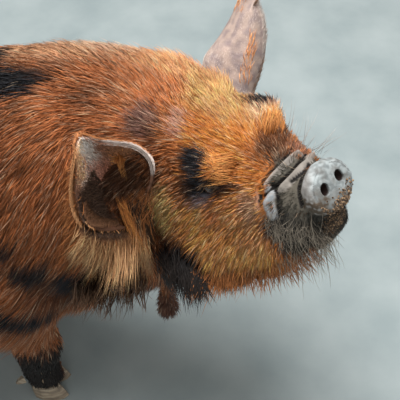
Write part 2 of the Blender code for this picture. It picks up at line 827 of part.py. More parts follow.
def ear_fringe(surface, trees):
    """Longer locks that fan down and back from below each ear."""
    made = []
    for side in (-1, 1):
        for k in range(EAR_FRINGE["count"]):
            share = k / (EAR_FRINGE["count"] - 1)
            start = EAR_ROOT + FRINGE_REAR.lerp(FRINGE_FRONT, share)
            near = surface.find_nearest(HEAD @ Vector((start.x, start.y * side, start.z)))
            way = along_surface(Vector((FRINGE_SPREAD * (share - 1), 0.1 * side, -1.0)), near[1])
            made.append(fit_lock(surface, trees, near[0], near[1], way, EAR_FRINGE))
    return made


def coat(obj, surface, others):
    """Covers the object with locks that keep clear of the others, then joins them in one union."""
    trees = [tree_of(other) for other in others]
    size = LOCKS[obj.name]
    pieces = ear_fringe(surface, trees) if obj.name == "head" else []
    for root, normal in roots_on(obj, surface, size["apart"]):
        pieces.append(fit_lock(surface, trees, root, normal, lie(root, normal), size))
    join_pieces(obj, [piece for piece in pieces if piece])


def feather_leg(leg, others):
    """A few locks down the back of a leg."""
    surface = tree_of(leg)
    trees = [tree_of(other) for other in others]
    corners = [v.co for v in leg.data.vertices]
    middle_y = (min(c.y for c in corners) + max(c.y for c in corners)) / 2
    behind = min(c.x for c in corners) - 0.05
    pieces = []
    for height in LEG_LOCKS["heights"]:
        near = surface.find_nearest(Vector((behind, middle_y, height)))
        way = along_surface(Vector((-0.25, 0.0, -1.0)), near[1])
        pieces.append(fit_lock(surface, trees, near[0], near[1], way, LEG_LOCKS))
    join_pieces(leg, [piece for piece in pieces if piece])


def tail_switch(made, others):
    """Locks round the tail's end that hang on past it."""
    trees = [tree_of(other) for other in others]
    end = Vector(TAIL_ROUTE[-1])
    pieces = []
    for k in range(TAIL_LOCKS["count"]):
        angle = math.tau * k / TAIL_LOCKS["count"]
        out = Vector((math.cos(angle), math.sin(angle), 0.0))
        side = Vector((-out.y, out.x, 0.0))
        centres = []
        for share in (0.0, 0.36, 0.74, 1.0):
            spread = TAIL_LOCKS["lift"] * math.sin(math.pi * min(share + 0.1, 1.0)) + 0.001
            drop = SWITCH_START - TAIL_LOCKS["length"] * (0.85 + 0.15 * math.cos(angle)) * share
            centres.append(end + out * spread + Vector((0, 0, drop)))
        shell = lock_shell(centres, [side] * 3, [out] * 3, TAIL_LOCKS["width"], LOCK_THICK)
        if is_clear(shell, trees):
            pieces.append(lock_mesh(shell))
    join_pieces(made, pieces)


def settle(nodes):
    """Moves the whole so that its box stands on the origin."""
    low = Vector((math.inf,) * 3)
    high = Vector((-math.inf,) * 3)
    for node in nodes:
        for vertex in node.data.vertices:
            low = Vector(map(min, low, vertex.co))
            high = Vector(map(max, high, vertex.co))
    shift = Vector((-(low.x + high.x) / 2, -(low.y + high.y) / 2, 0.0))
    for node in nodes:
        node.data.transform(Matrix.Translation(shift))
        node.data.shade_smooth()


def main():
    random.seed(11)
    clear_scene()
    body = body_solid()
    surface = tree_of(body)
    torso, neck, head = divide_body(body)
    nodes = [torso, neck, head]
    nodes += eyes(head)
    nostrils(head)
    mouth(head)
    keep_largest(head)
    nodes += ears(head, neck)
    nodes += wattles(head)
    made = legs(torso)
    nodes += made
    nodes += hooves(made)
    nodes.append(tail(torso))
    for obj in (head, neck, torso):
        coat(obj, surface, [other for other in nodes if other is not obj])
    for leg in made:
        feather_leg(leg, [other for other in nodes if other is not leg])
    tail_switch(nodes[-1], nodes[:-1])
    settle(nodes)
    for node in nodes:
        print(node.name, sum(len(p.vertices) - 2 for p in node.data.polygons))


main()
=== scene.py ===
# %% [markdown]
# A kunekune pig is a small, round, hairy pig from New Zealand. This file dresses a still, life-size model
# of one. The solids give its size and its parts, and here it gets one soft skin, a coat of many thin tufts,
# eyes, lids, whiskers and hooves. Blender has hair curves, but they don't survive an export, so each tuft
# is a small closed mesh.

# %% Load the solids
import math

import bmesh
import bpy
import numpy as np
from mathutils import Matrix, Vector, noise
from mathutils.bvhtree import BVHTree
from mathutils.kdtree import KDTree


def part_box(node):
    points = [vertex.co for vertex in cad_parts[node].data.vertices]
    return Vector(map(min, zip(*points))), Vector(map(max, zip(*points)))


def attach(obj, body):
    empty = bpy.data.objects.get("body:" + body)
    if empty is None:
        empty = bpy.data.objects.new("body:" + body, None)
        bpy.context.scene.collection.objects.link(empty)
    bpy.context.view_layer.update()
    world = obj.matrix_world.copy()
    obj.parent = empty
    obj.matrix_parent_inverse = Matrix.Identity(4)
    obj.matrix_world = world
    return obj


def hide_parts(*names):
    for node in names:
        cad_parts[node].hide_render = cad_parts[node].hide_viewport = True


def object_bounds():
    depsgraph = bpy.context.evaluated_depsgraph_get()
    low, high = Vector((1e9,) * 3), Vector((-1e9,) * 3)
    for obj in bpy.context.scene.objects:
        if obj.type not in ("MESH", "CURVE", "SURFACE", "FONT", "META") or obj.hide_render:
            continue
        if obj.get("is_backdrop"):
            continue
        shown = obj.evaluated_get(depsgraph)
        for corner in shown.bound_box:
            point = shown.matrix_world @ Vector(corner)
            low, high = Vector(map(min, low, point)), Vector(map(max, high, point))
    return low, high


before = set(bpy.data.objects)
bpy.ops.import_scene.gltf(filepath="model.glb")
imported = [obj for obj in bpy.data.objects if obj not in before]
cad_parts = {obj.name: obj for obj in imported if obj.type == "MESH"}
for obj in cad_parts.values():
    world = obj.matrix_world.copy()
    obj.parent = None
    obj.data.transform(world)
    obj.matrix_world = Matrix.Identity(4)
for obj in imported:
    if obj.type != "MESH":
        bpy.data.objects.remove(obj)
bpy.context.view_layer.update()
rng = np.random.default_rng(7)

# %% [markdown]
# Every form of the head is given in the head's own axes: forward along the snout, left, and up. A matrix
# turns those into the places of the solids. The right eye's solid says where the head is.

# %% The head's axes
EYES_MIDDLE = Vector((0.296, -0.071, 0.493))
HEAD_TURN = -43.0
HEAD_LIFT = 20.0
HEAD_ROLL = 5.0
EYE_MIDDLE = Vector((0.002, 0.0515, 0.000))
EYE_RADIUS = 0.0115


def box_middle(name):
    low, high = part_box(name)
    return (Vector(low) + Vector(high)) / 2


def rotation(degrees, axis):
    return Matrix.Rotation(math.radians(degrees), 4, axis)


turned = rotation(HEAD_TURN, "Z") @ rotation(-HEAD_LIFT, "Y") @ rotation(HEAD_ROLL, "X")
right_eye = Vector((EYE_MIDDLE.x, -EYE_MIDDLE.y, EYE_MIDDLE.z))
HEAD = Matrix.Translation(box_middle("eye_right")) @ turned @ Matrix.Translation(-right_eye)
SHIFT = HEAD.translation - EYES_MIDDLE
print("shift of the model", [round(v, 4) for v in SHIFT])

# %% [markdown]
# The camera stands over the pig's right shoulder, a metre from its head, and looks half down at it. It is
# made first, because the markings and the way the hair lies are placed by where the photo shows them: a ray
# through a point of the picture meets the skin at the spot to treat.

# %% Camera and its rays
PITCH = math.radians(50.0)
DISTANCE = 1.0
FOCAL = 889.0
MIDDLE = 200.0
LOOK = Vector((0.0, math.cos(PITCH), -math.sin(PITCH)))
UP = Vector((0.0, math.sin(PITCH), math.cos(PITCH)))
RIGHT = Vector((1.0, 0.0, 0.0))
AIM = Vector((0.25, -0.10, 0.45)) + SHIFT

lens = bpy.data.cameras.new("camera")
lens.sensor_width = 36.0
lens.lens = lens.sensor_width * FOCAL / (2 * MIDDLE)
camera = bpy.data.objects.new("camera", lens)
camera.location = AIM - LOOK * DISTANCE
camera.rotation_euler = (math.pi / 2 - PITCH, 0.0, 0.0)
bpy.context.scene.collection.objects.link(camera)
bpy.context.scene.camera = camera


def ray(px, py):
    """The unit direction from the camera through a point of the photo."""
    return (LOOK + RIGHT * ((px - MIDDLE) / FOCAL) + UP * ((MIDDLE - py) / FOCAL)).normalized()


def on_ray(px, py, depth):
    """The point of that ray at this depth from the camera."""
    way = ray(px, py)
    return camera.location + way * (depth / way.dot(LOOK))


# %% [markdown]
# The body is first built from round forms, as a sculptor builds up clay over a wire: lofted rings for the
# trunk, skull, legs, tail and wattles, and ellipsoids for shoulders, haunches, jowls and brows. Each ring
# is a circle operator placed by a matrix, and bridging joins one ring to the next.

# %% Lofts and balls
def smooth_rows(rows, steps):
    """Rows of numbers read along a smooth curve through them."""
    rows = [np.array(row, dtype=float) for row in rows]
    last = len(rows) - 1
    out = []
    for i in range(last):
        p, q, r, s = rows[max(i - 1, 0)], rows[i], rows[i + 1], rows[min(i + 2, last)]
        bend, twist = 2 * p - 5 * q + 4 * r - s, 3 * q - p - 3 * r + s
        for t in np.arange(steps) / steps:
            out.append(0.5 * (2 * q + (r - p) * t + bend * t**2 + twist * t**3))
    return out + [rows[last]]


def axes(middle, across, up, along):
    """A matrix whose first two axes are these half sizes."""
    made = Matrix((across, up, along)).transposed().to_4x4()
    made.translation = middle
    return made


def loft(bm, places, sides):
    rings = []
    for i, place in enumerate(places):
        capped = i in (0, len(places) - 1)
        made = bmesh.ops.create_circle(bm, cap_ends=capped, radius=1.0, segments=sides, matrix=place)
        rings.append(list({e for v in made["verts"] for e in v.link_edges}))
    for low, high in zip(rings, rings[1:]):
        bmesh.ops.bridge_loops(bm, edges=low + high)


def tube(bm, route, radii, sides, flat=1.0):
    """A round tube along a route, as thick at each point as its radius."""
    places = []
    for i, point in enumerate(route):
        along = (route[min(i + 1, len(route) - 1)] - route[max(i - 1, 0)]).normalized()
        across = (Vector((0.0, 1.0, 0.0)) - along * along.y).normalized()
        places.append(axes(point, across * radii[i], along.cross(across) * radii[i] * flat, along))
    loft(bm, places, sides)


def ball(bm, middle, sizes, place=Matrix(), sides=28):
    matrix = place @ Matrix.Translation(middle) @ Matrix.Diagonal((*sizes, 1.0))
    bmesh.ops.create_uvsphere(bm, u_segments=sides, v_segments=sides // 2, radius=1.0, matrix=matrix)


def both(middle):
    """The middle itself, and its mirror image if it lies off the middle plane."""
    yield Vector(middle)
    if middle[1]:
        yield Vector((middle[0], -middle[1], middle[2]))


def to_object(name, bm):
    bmesh.ops.recalc_face_normals(bm, faces=bm.faces)
    mesh = bpy.data.meshes.new(name)
    bm.to_mesh(mesh)
    bm.free()
    obj = bpy.data.objects.new(name, mesh)
    bpy.context.scene.collection.objects.link(obj)
    return obj


def bake(obj):
    """Applies the object's modifiers."""
    mesh = bpy.data.meshes.new_from_object(obj.evaluated_get(bpy.context.evaluated_depsgraph_get()))
    obj.modifiers.clear()
    obj.data = mesh


# %% [markdown]
# The trunk runs from the rump to the nape. A kunekune is barrel shaped, widest just behind the middle, with
# a short thick neck. The rings follow a smooth curve through a few stations, so that the back has no kinks.

# %% Trunk
TRUNK = (
    (-0.712, 0.0, 0.405, 0.030, 0.035),
    (-0.696, 0.0, 0.400, 0.088, 0.092),
    (-0.655, 0.0, 0.390, 0.130, 0.130),
    (-0.575, 0.0, 0.372, 0.158, 0.158),
    (-0.460, 0.0, 0.356, 0.176, 0.174),
    (-0.320, 0.0, 0.350, 0.186, 0.180),
    (-0.180, 0.0, 0.355, 0.178, 0.172),
    (-0.070, 0.0, 0.366, 0.164, 0.160),
    (0.000, 0.0, 0.378, 0.156, 0.155),
    (0.070, 0.004, 0.393, 0.142, 0.152),
    (0.135, 0.014, 0.408, 0.112, 0.146),
    (0.190, 0.004, 0.430, 0.094, 0.120),
    (0.235, -0.012, 0.446, 0.084, 0.104),
    (0.262, -0.025, 0.455, 0.060, 0.075),
)
TRUNK_FORMS = {
    "breast": ((0.070, 0.000, 0.300), (0.110, 0.122, 0.108)),
    "shoulder": ((-0.010, 0.100, 0.330), (0.098, 0.064, 0.145)),
    "haunch": ((-0.575, 0.092, 0.320), (0.118, 0.082, 0.155)),
    "belly": ((-0.300, 0.070, 0.235), (0.220, 0.075, 0.062)),
}
THROAT = ((0.158, -0.022, 0.328), (0.088, 0.092, 0.094))

form = bmesh.new()
rows = smooth_rows(TRUNK, 3)
places = []
for i, row in enumerate(rows):
    along = Vector(rows[min(i + 1, len(rows) - 1)][:3] - rows[max(i - 1, 0)][:3]).normalized()
    across = Vector((0.0, 0.0, 1.0)).cross(along).normalized()
    places.append(axes(Vector(row[:3]) + SHIFT, across * row[3], along.cross(across) * row[4], along))
loft(form, places, 40)
for middle, sizes in TRUNK_FORMS.values():
    for place in both(middle):
        ball(form, place + SHIFT, sizes)
ball(form, Vector(THROAT[0]) + SHIFT, THROAT[1])
print("trunk rings", len(places))

# %% [markdown]
# The head is short, with a dished face, heavy jowls and a small flat snout disc that tips back. Its forms
# are mirrored over the middle of the head.

# %% Head
SKULL = (
    (-0.175, -0.034, 0.060, 0.060),
    (-0.150, -0.034, 0.080, 0.082),
    (-0.110, -0.034, 0.086, 0.089),
    (-0.060, -0.036, 0.086, 0.088),
    (-0.020, -0.040, 0.080, 0.080),
    (0.020, -0.043, 0.067, 0.066),
    (0.050, -0.042, 0.053, 0.051),
    (0.080, -0.038, 0.042, 0.043),
    (0.102, -0.034, 0.036, 0.041),
    (0.114, -0.032, 0.022, 0.027),
)
HEAD_FORMS = {
    "jowl": ((-0.032, 0.052, -0.088), (0.070, 0.044, 0.060)),
    "brow": ((-0.012, 0.050, 0.024), (0.032, 0.017, 0.012)),
    "jaw": ((0.030, 0.034, -0.078), (0.056, 0.036, 0.048)),
    "chin": ((0.074, 0.012, -0.066), (0.044, 0.027, 0.028)),
    "lip": ((0.085, 0.022, -0.030), (0.028, 0.017, 0.020)),
    "crown": ((-0.080, 0.030, 0.040), (0.040, 0.036, 0.020)),
}
DISC_MIDDLE = Vector((0.119, 0.0, -0.006))
DISC_HALF = (0.0345, 0.0305)
DISC_DEPTH = 0.016
DISC_TILT = 22.0
DISC = Matrix.Translation(RIGHT * 0.0035 + UP * 0.0015) @ HEAD @ Matrix.Translation(DISC_MIDDLE)
DISC = DISC @ rotation(-DISC_TILT, "Y")
LID_THICK = 0.0030

loft(form, [HEAD @ axes(Vector((f, 0, h)), Vector((0, w, 0)), Vector((0, 0, t)), Vector((1, 0, 0)))
            for f, h, w, t in smooth_rows(SKULL, 2)], 36)
for middle, sizes in HEAD_FORMS.values():
    for place in both(middle):
        ball(form, place, sizes, HEAD)
for place in both(EYE_MIDDLE):
    ball(form, place, [EYE_RADIUS + LID_THICK] * 3, HEAD)
rim = ((-1.0, 0.80), (-0.45, 0.97), (0.0, 1.0), (0.25, 0.97), (0.40, 0.86))
loft(form, [DISC @ axes(Vector((DISC_DEPTH * f, 0, 0)), Vector((0, DISC_HALF[0] * s, 0)),
                        Vector((0, 0, DISC_HALF[1] * s)), Vector((1, 0, 0))) for f, s in rim], 36)
print("head forms", len(HEAD_FORMS))

# %% [markdown]
# Legs are short and strong, and end above the claws. The tail hangs, and two wattles, the pig's tassels of
# skin, hang from the throat.

# %% Legs, tail and wattles
FORE_HOOF = (0.020, 0.090)
HIND_HOOF = (-0.590, 0.100)
FORE_LEG = (
    (-0.030, 0.004, 0.300, 0.066, 0.046),
    (-0.020, 0.004, 0.245, 0.055, 0.044),
    (-0.010, 0.003, 0.195, 0.041, 0.038),
    (-0.004, 0.001, 0.150, 0.034, 0.033),
    (0.000, 0.000, 0.115, 0.034, 0.033),
    (-0.004, 0.000, 0.080, 0.027, 0.027),
    (-0.004, 0.000, 0.052, 0.027, 0.028),
    (0.002, 0.000, 0.035, 0.029, 0.030),
)
HIND_LEG = (
    (0.030, -0.008, 0.320, 0.095, 0.056),
    (0.018, -0.006, 0.260, 0.076, 0.052),
    (-0.006, -0.003, 0.200, 0.052, 0.042),
    (-0.026, 0.000, 0.155, 0.037, 0.032),
    (-0.026, 0.000, 0.125, 0.034, 0.030),
    (-0.016, 0.000, 0.085, 0.027, 0.027),
    (-0.008, 0.000, 0.055, 0.027, 0.028),
    (0.002, 0.000, 0.035, 0.029, 0.030),
)
TAIL_ROUTE = (
    (-0.690, 0.000, 0.462),
    (-0.720, 0.002, 0.462),
    (-0.742, 0.006, 0.432),
    (-0.748, 0.007, 0.385),
    (-0.744, 0.002, 0.335),
    (-0.738, -0.004, 0.285),
)
WATTLE_RADIUS = 0.0130

for stations, hoof in ((FORE_LEG, FORE_HOOF), (HIND_LEG, HIND_HOOF)):
    for side in (-1, 1):
        places = []
        for x, y, z, deep, wide in smooth_rows(stations, 3):
            middle = Vector((hoof[0] + x, (hoof[1] + y) * side, z)) + SHIFT
            places.append(axes(middle, Vector((deep, 0, 0)), Vector((0, wide, 0)), Vector((0, 0, 1))))
        loft(form, places, 24)
route = [Vector(p) + SHIFT for p in smooth_rows(TAIL_ROUTE, 4)]
tube(form, route, np.linspace(0.012, 0.006, len(route)), 14)
wattle_tops = {}
for name in ("wattle_left", "wattle_right"):
    low, high = (Vector(corner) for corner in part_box(name))
    middle = (low + high) / 2
    top = Vector((middle.x, middle.y, high.z + 0.02))
    wattle_tops[name] = Vector((middle.x, middle.y, high.z))
    shares = np.array((0.0, 0.25, 0.42, 0.60, 0.78, 0.90, 0.97, 1.0))
    bulge = (0.72, 0.62, 0.66, 0.82, 1.0, 0.98, 0.72, 0.30)
    drop = top.z - low.z - 0.002
    tube(form, [top - Vector((0, 0, drop * s)) for s in shares], [WATTLE_RADIUS * b for b in bulge], 18)
skin = to_object("skin", form)
print("forms", len(skin.data.vertices))

# %% [markdown]
# A voxel remesh melts the forms into one surface, and smoothing rounds the creases between them. The face
# needs small folds, so its faces are subdivided, the muzzle's and the eyes' twice.

# %% One surface
VOXEL = 0.0060
MELT_STEPS = 15

melt = skin.modifiers.new("Melt", "REMESH")
melt.mode = "VOXEL"
melt.voxel_size = VOXEL
soften = skin.modifiers.new("Soften", "SMOOTH")
soften.factor = 0.5
soften.iterations = MELT_STEPS
bake(skin)

HEAD_TURNED = np.array(HEAD.to_3x3())
HEAD_PLACE = np.array(HEAD.translation)


def head_axes(points):
    """Points of the world as forward, left and up of the head."""
    return (np.asarray(points) - HEAD_PLACE) @ HEAD_TURNED


def refine(obj, chosen, steps):
    """Subdivides the faces whose middle is chosen, and smooths what it made."""
    bm = bmesh.new()
    bm.from_mesh(obj.data)
    middles = np.array([f.calc_center_median() for f in bm.faces])
    keep = chosen(head_axes(middles))
    edges = {e for f, wanted in zip(bm.faces, keep) if wanted for e in f.edges}
    bmesh.ops.subdivide_edges(bm, edges=list(edges), cuts=1, use_grid_fill=True)
    near = chosen(head_axes(np.array([v.co for v in bm.verts])))
    verts = [v for v, wanted in zip(bm.verts, near) if wanted]
    for _ in range(steps):
        bmesh.ops.smooth_vert(bm, verts=verts, factor=0.5, use_axis_x=True, use_axis_y=True, use_axis_z=True)
    bm.to_mesh(obj.data)
    bm.free()


def face_region(p):
    return (p[:, 0] > -0.065) & (p[:, 2] < 0.10) & (p[:, 2] > -0.145) & (abs(p[:, 1]) < 0.10)


def fine_region(p):
    muzzle = (p[:, 0] > 0.045) & (p[:, 2] > -0.11)
    by_eye = np.linalg.norm((p - np.array(EYE_MIDDLE)) * (1, 0, 1), axis=1) < 0.020
    return face_region(p) & (muzzle | (by_eye & (abs(p[:, 1]) > 0.035)))


print("melted faces", len(skin.data.polygons))
refine(skin, face_region, 2)
refine(skin, fine_region, 2)
print("skin faces", len(skin.data.polygons))

# %% [markdown]
# Folds are placed by the photo. A fold is a line over the skin, and the skin rises or sinks near it. What
# is seen on one cheek is mirrored onto the other over the middle of the head.

# %% Places on the skin
def tree_of(obj):
    mesh = obj.data
    return BVHTree.FromPolygons([v.co for v in mesh.vertices], [p.vertices[:] for p in mesh.polygons])


def seen(px, py, tree):
    """The skin's place and normal at this point of the photo; off the skin, a point level with it."""
    way = ray(px, py)
    hit = tree.ray_cast(camera.location, way)
    if hit[0] is None:
        beside = tree.find_nearest(on_ray(px, py, DISTANCE))
        depth = (beside[0] - camera.location).dot(LOOK)
        return on_ray(px, py, depth), -LOOK
    return hit[0], hit[1]


def mirror(point):
    local = HEAD.inverted() @ Vector(point)
    return HEAD @ Vector((local.x, -local.y, local.z))


def line_over(pixels, tree, steps=6):
    """A smooth line over the skin through points of the photo."""
    return np.array([seen(x, y, tree)[0] for x, y in smooth_rows(pixels, steps)])


def distance_to(points, line):
    """How far each point is from a line of short straight pieces."""
    best = np.full(len(points), np.inf)
    for a, b in zip(line[:-1], line[1:]):
        ab = b - a
        t = np.clip((points - a) @ ab / max(ab @ ab, 1e-12), 0, 1)
        best = np.minimum(best, np.linalg.norm(points - (a + t[:, None] * ab), axis=1))
    return best


def bell(distance, width):
    return np.exp(-((distance / width) ** 2))


def corners(mesh):
    out = np.empty(len(mesh.vertices) * 3)
    mesh.vertices.foreach_get("co", out)
    return out.reshape(-1, 3)


def set_corners(mesh, points):
    mesh.vertices.foreach_set("co", points.ravel())
    mesh.update()


def normals_of(mesh):
    out = np.empty(len(mesh.vertices) * 3, dtype=np.float32)
    mesh.vertex_normals.foreach_get("vector", out)
    return out.reshape(-1, 3).astype(float)


# %% [markdown]
# Behind the snout disc the skin is thrown into three pale ridges with dark creases between them, as on a
# bent sleeve. Below the nearer one is a bare, swollen fold. The lids are two soft ridges that nearly meet
# over the eye, the brow hangs over them, and a crease parts cheek from muzzle.

# %% Folds of the face
FOLDS = {
    "front ridge": (((313, 155), (304, 166), (294, 178), (284, 187)), 0.0042, 0.0030),
    "rear ridge": (((297, 153), (286, 163), (275, 174), (266, 184)), 0.0042, 0.0030),
    "third ridge": (((311, 168), (307, 180), (302, 192)), 0.0030, 0.0012),
    "bare fold": (((270, 192), (268, 203), (272, 216)), 0.0060, 0.0036),
    "crease by the disc": (((309, 164), (303, 176), (299, 190), (302, 206)), 0.0028, -0.0034),
    "crease between ridges": (((306, 155), (296, 166), (284, 180), (277, 187)), 0.0026, -0.0044),
    "crease behind ridges": (((291, 153), (279, 165), (268, 176), (261, 190), (262, 204)), 0.0030, -0.0030),
    "crease by the fold": (((272, 184), (277, 193), (278, 204), (280, 216)), 0.0028, -0.0038),
    "upper lid": (((202, 184), (208, 180), (216, 179), (224, 182)), 0.0030, 0.0022),
    "lower lid": (((203, 190), (212, 192), (220, 190), (226, 185)), 0.0028, 0.0012),
    "socket": (((196, 186), (205, 194), (216, 197), (230, 190)), 0.0060, -0.0022),
    "brow fold": (((198, 172), (208, 170), (222, 172), (236, 178)), 0.0070, 0.0030),
    "cheek crease": (((284, 216), (280, 228), (276, 240)), 0.0050, -0.0018),
}

smooth_tree = tree_of(skin)
skin_points = corners(skin.data)
outward = normals_of(skin.data)
rise = np.zeros(len(skin_points))
local = head_axes(skin_points)
near_face = (local[:, 0] > -0.07) & (local[:, 2] > -0.16) & (local[:, 2] < 0.12)
for pixels, width, height in FOLDS.values():
    line = line_over(pixels, smooth_tree)
    for one in (line, np.array([mirror(p) for p in line])):
        rise[near_face] += height * bell(distance_to(skin_points[near_face], one), width)
set_corners(skin.data, skin_points + outward * rise[:, None])
print("folds", len(FOLDS), "rise", round(rise.min(), 4), round(rise.max(), 4))

# %% [markdown]
# An ear is a leaf of skin, curled at its root into a cup and opening out to its tip. A grid is bent by a
# formula for that curl and given a thickness. The right one turns its hollow to the camera, and the left
# one its back.

# %% Ears
EAR_ROOT = Vector((-0.108, 0.084, -0.004))
EAR_THICK = 0.0032
EAR_SINK = 0.006
EAR_DROP = 0.016
EARS = {
    "ear_right": dict(side=-1, length=0.125, width=0.088, axis=(-0.354, -0.204, 0.913),
                      open=(0.34, -0.93, -0.07)),
    "ear_left": dict(side=1, length=0.142, width=0.086, axis=(0.10, 0.62, 0.78), open=(0.55, 0.58, -0.60)),
}

# From a point of the plain leaf over the photo to where the real ear has it.
EAR_PULLS = {
    -1: (
        (83, 129, 80, 138), (93, 128, 91, 141), (108, 132, 106, 147), (121, 137, 124, 142),
        (137, 148, 143, 150), (148, 161, 152, 163), (155, 173, 153, 176), (158, 184, 146, 187),
        (158, 200, 140, 193), (77, 138, 78, 143), (72, 152, 78, 155), (71, 165, 78, 170),
        (74, 183, 75, 193), (82, 198, 77, 212), (93, 208, 85, 225), (105, 214, 98, 232),
        (117, 216, 112, 232), (128, 216, 126, 226), (104, 151, 104, 158), (120, 165, 120, 170),
    ),
    1: (
        (211, 36, 221, 38), (215, 19, 234, 20), (219, 4, 243, 5), (226, -3, 247, -3),
        (213, 54, 210, 54), (212, 70, 204, 62), (270, 60, 261, 60), (265, 77, 257, 77),
        (271, 43, 263, 43), (268, 24, 262, 24), (260, 8, 258, 8), (231, -8, 250, -12),
        (240, 40, 241, 40), (238, 21, 245, 21),
    ),
}
PULL_REACH = 11.0


def ear_point(spec, u, v):
    """Across, deep and along: u is -1 at the front margin and 1 at the rear, v is 0 at root and 1 at tip."""
    wide = spec["width"] / 2 * (0.62 + 1.05 * v - 0.55 * v * v) * math.sqrt(max(1 - v**3, 0)) + 0.004
    curl = math.radians(128 - 62 * v)
    radius = wide / math.sin(min(curl, math.pi / 2)) * (0.80 + 0.2 * v)
    return radius * math.sin(u * curl), radius * (1 - math.cos(u * curl)), v * spec["length"]


def ear_frame(spec):
    root = HEAD @ Vector((EAR_ROOT.x, EAR_ROOT.y * spec["side"], EAR_ROOT.z))
    axis = Vector(spec["axis"]).normalized()
    face = Vector(spec["open"])
    face = (face - axis * face.dot(axis)).normalized()
    return root, axis, face, face.cross(axis) * -spec["side"]


def ear_place(spec, u, v):
    """A point of the ear's sheet, drawn over the photo by the pulls near it."""
    root, axis, face, across = ear_frame(spec)
    a, d, h = ear_point(spec, u, min(max(v, 0.0), 0.995))
    point = root + across * a + face * (d - EAR_SINK) + axis * (h - EAR_DROP)
    depth = (point - camera.location).dot(LOOK)
    px = MIDDLE + (point - camera.location).dot(RIGHT) / depth * FOCAL
    py = MIDDLE - (point - camera.location).dot(UP) / depth * FOCAL
    total, move_x, move_y = 0.15, 0.0, 0.0
    for x0, y0, x1, y1 in EAR_PULLS[spec["side"]]:
        share = math.exp(-((px - x0) ** 2 + (py - y0) ** 2) / (2 * PULL_REACH**2))
        total += share
        move_x += share * (x1 - x0)
        move_y += share * (y1 - y0)
    return point + (RIGHT * move_x - UP * move_y) / total * depth / FOCAL


ears = {}
for name, spec in EARS.items():
    bm = bmesh.new()
    bmesh.ops.create_grid(bm, x_segments=40, y_segments=44, size=1.0)
    for vert in bm.verts:
        vert.co = ear_place(spec, vert.co.x, (vert.co.y + 1) / 2)
    ears[name] = to_object(name + "_leaf", bm)
    wall = ears[name].modifiers.new("Wall", "SOLIDIFY")
    wall.thickness = EAR_THICK
    wall.offset = 0.0
    bake(ears[name])
    bm = bmesh.new()
    bm.from_mesh(ears[name].data)
    bmesh.ops.remove_doubles(bm, verts=bm.verts, dist=0.0002)
    bmesh.ops.recalc_face_normals(bm, faces=bm.faces)
    bm.to_mesh(ears[name].data)
    bm.free()
ear_trees = {name: tree_of(obj) for name, obj in ears.items()}
print("ears", [len(obj.data.polygons) for obj in ears.values()])

# %% [markdown]
# The openings are cut last, so that their edges stay crisp: the sockets, the slits between the lids, the
# nostrils and the line of the mouth.

# %% Openings
EYE_SLIT = (0.0100, 0.012, 0.0046)
EYE_OUT = Vector((0.35, 0.93, 0.05))
NOSTRIL_APART = 0.0125
NOSTRIL_TURN = 14.0
NOSTRIL_SIZE = (0.013, 0.0058, 0.0070)
MOUTH_MIDDLE = Vector((0.062, 0.0, -0.050))
MOUTH_SPREAD = 108.0
MOUTH_RADIUS = 0.0020


def join(obj, other, operation):
    work = obj.modifiers.new("Join", "BOOLEAN")
    work.operation = operation
    work.solver = "MANIFOLD"
    work.object = other
    bake(obj)
    bpy.data.objects.remove(other, do_unlink=True)


for ear in ears.values():
    join(skin, ear, "UNION")

cuts = bmesh.new()
for side in (-1, 1):
    out = Vector((EYE_OUT.x, EYE_OUT.y * side, EYE_OUT.z)).normalized()
    eye = Matrix.Translation(Vector((EYE_MIDDLE.x, EYE_MIDDLE.y * side, EYE_MIDDLE.z)))
    slit = HEAD @ eye @ out.to_track_quat("Y", "Z").to_matrix().to_4x4() @ rotation(-8.0 * side, "Y")
    ball(cuts, Vector((0, EYE_RADIUS + LID_THICK, 0)), EYE_SLIT, slit, 24)
    nostril = DISC @ rotation(side * NOSTRIL_TURN, "X")
    ball(cuts, Vector((0.006, side * NOSTRIL_APART, 0.001)), NOSTRIL_SIZE, nostril, 20)
cutter = to_object("openings", cuts)
join(skin, cutter, "DIFFERENCE")

cuts = bmesh.new()
for place in both(EYE_MIDDLE):
    ball(cuts, place, [EYE_RADIUS + 0.0003] * 3, HEAD, 32)
join(skin, to_object("sockets", cuts), "DIFFERENCE")

mouth_tree = tree_of(skin)
route = []
for share in np.linspace(-1, 1, 33):
    angle = math.radians(share * MOUTH_SPREAD)
    out = HEAD.to_3x3() @ Vector((math.cos(angle), math.sin(angle), 0.02 - 0.36 * share * share))
    route.append(mouth_tree.ray_cast(HEAD @ MOUTH_MIDDLE, out.normalized())[0])
cuts = bmesh.new()
tube(cuts, route, [MOUTH_RADIUS * min(1.0, 0.3 + 6 * (1 - abs(s))) for s in np.linspace(-1, 1, 33)], 10)
join(skin, to_object("mouth", cuts), "DIFFERENCE")
skin.data.shade_smooth()
print("skin triangles", sum(len(p.vertices) - 2 for p in skin.data.polygons))

# %% [markdown]
# Markings: ginger over most of the body, brightest on the forehead, where it is partly painted light from
# above, with black patches, grey hair about the eyes and a grey muzzle. Some spots are painted shade: under
# the jowl, at the jaw and about the eyes. A bright spot on the side of the face is painted light, and a grey
# spot under each eye is a painted highlight. Each marking is a soft ragged spot with a name. Skin and hair ask
# the same function for their colour, so a patch runs through both. Those that the photo shows are placed by
# it, and the rest are laid out as the breed has them.

# %% Colours
def srgb(red, green, blue):
    """A colour as a screen shows it, made linear as Blender reckons."""
    c = np.array((red, green, blue)) / 255
    return np.where(c <= 0.04045, c / 12.92, ((c + 0.055) / 1.055) ** 2.4)


RUST = srgb(172, 102, 58)
GINGER = srgb(238, 142, 66)
FAWN = srgb(226, 152, 102)
UMBER = srgb(96, 62, 44)
BLACK = srgb(34, 34, 38)
SLATE = srgb(92, 88, 92)
DISC_GREY = srgb(140, 146, 146)
PALE_FOLD = srgb(152, 158, 162)

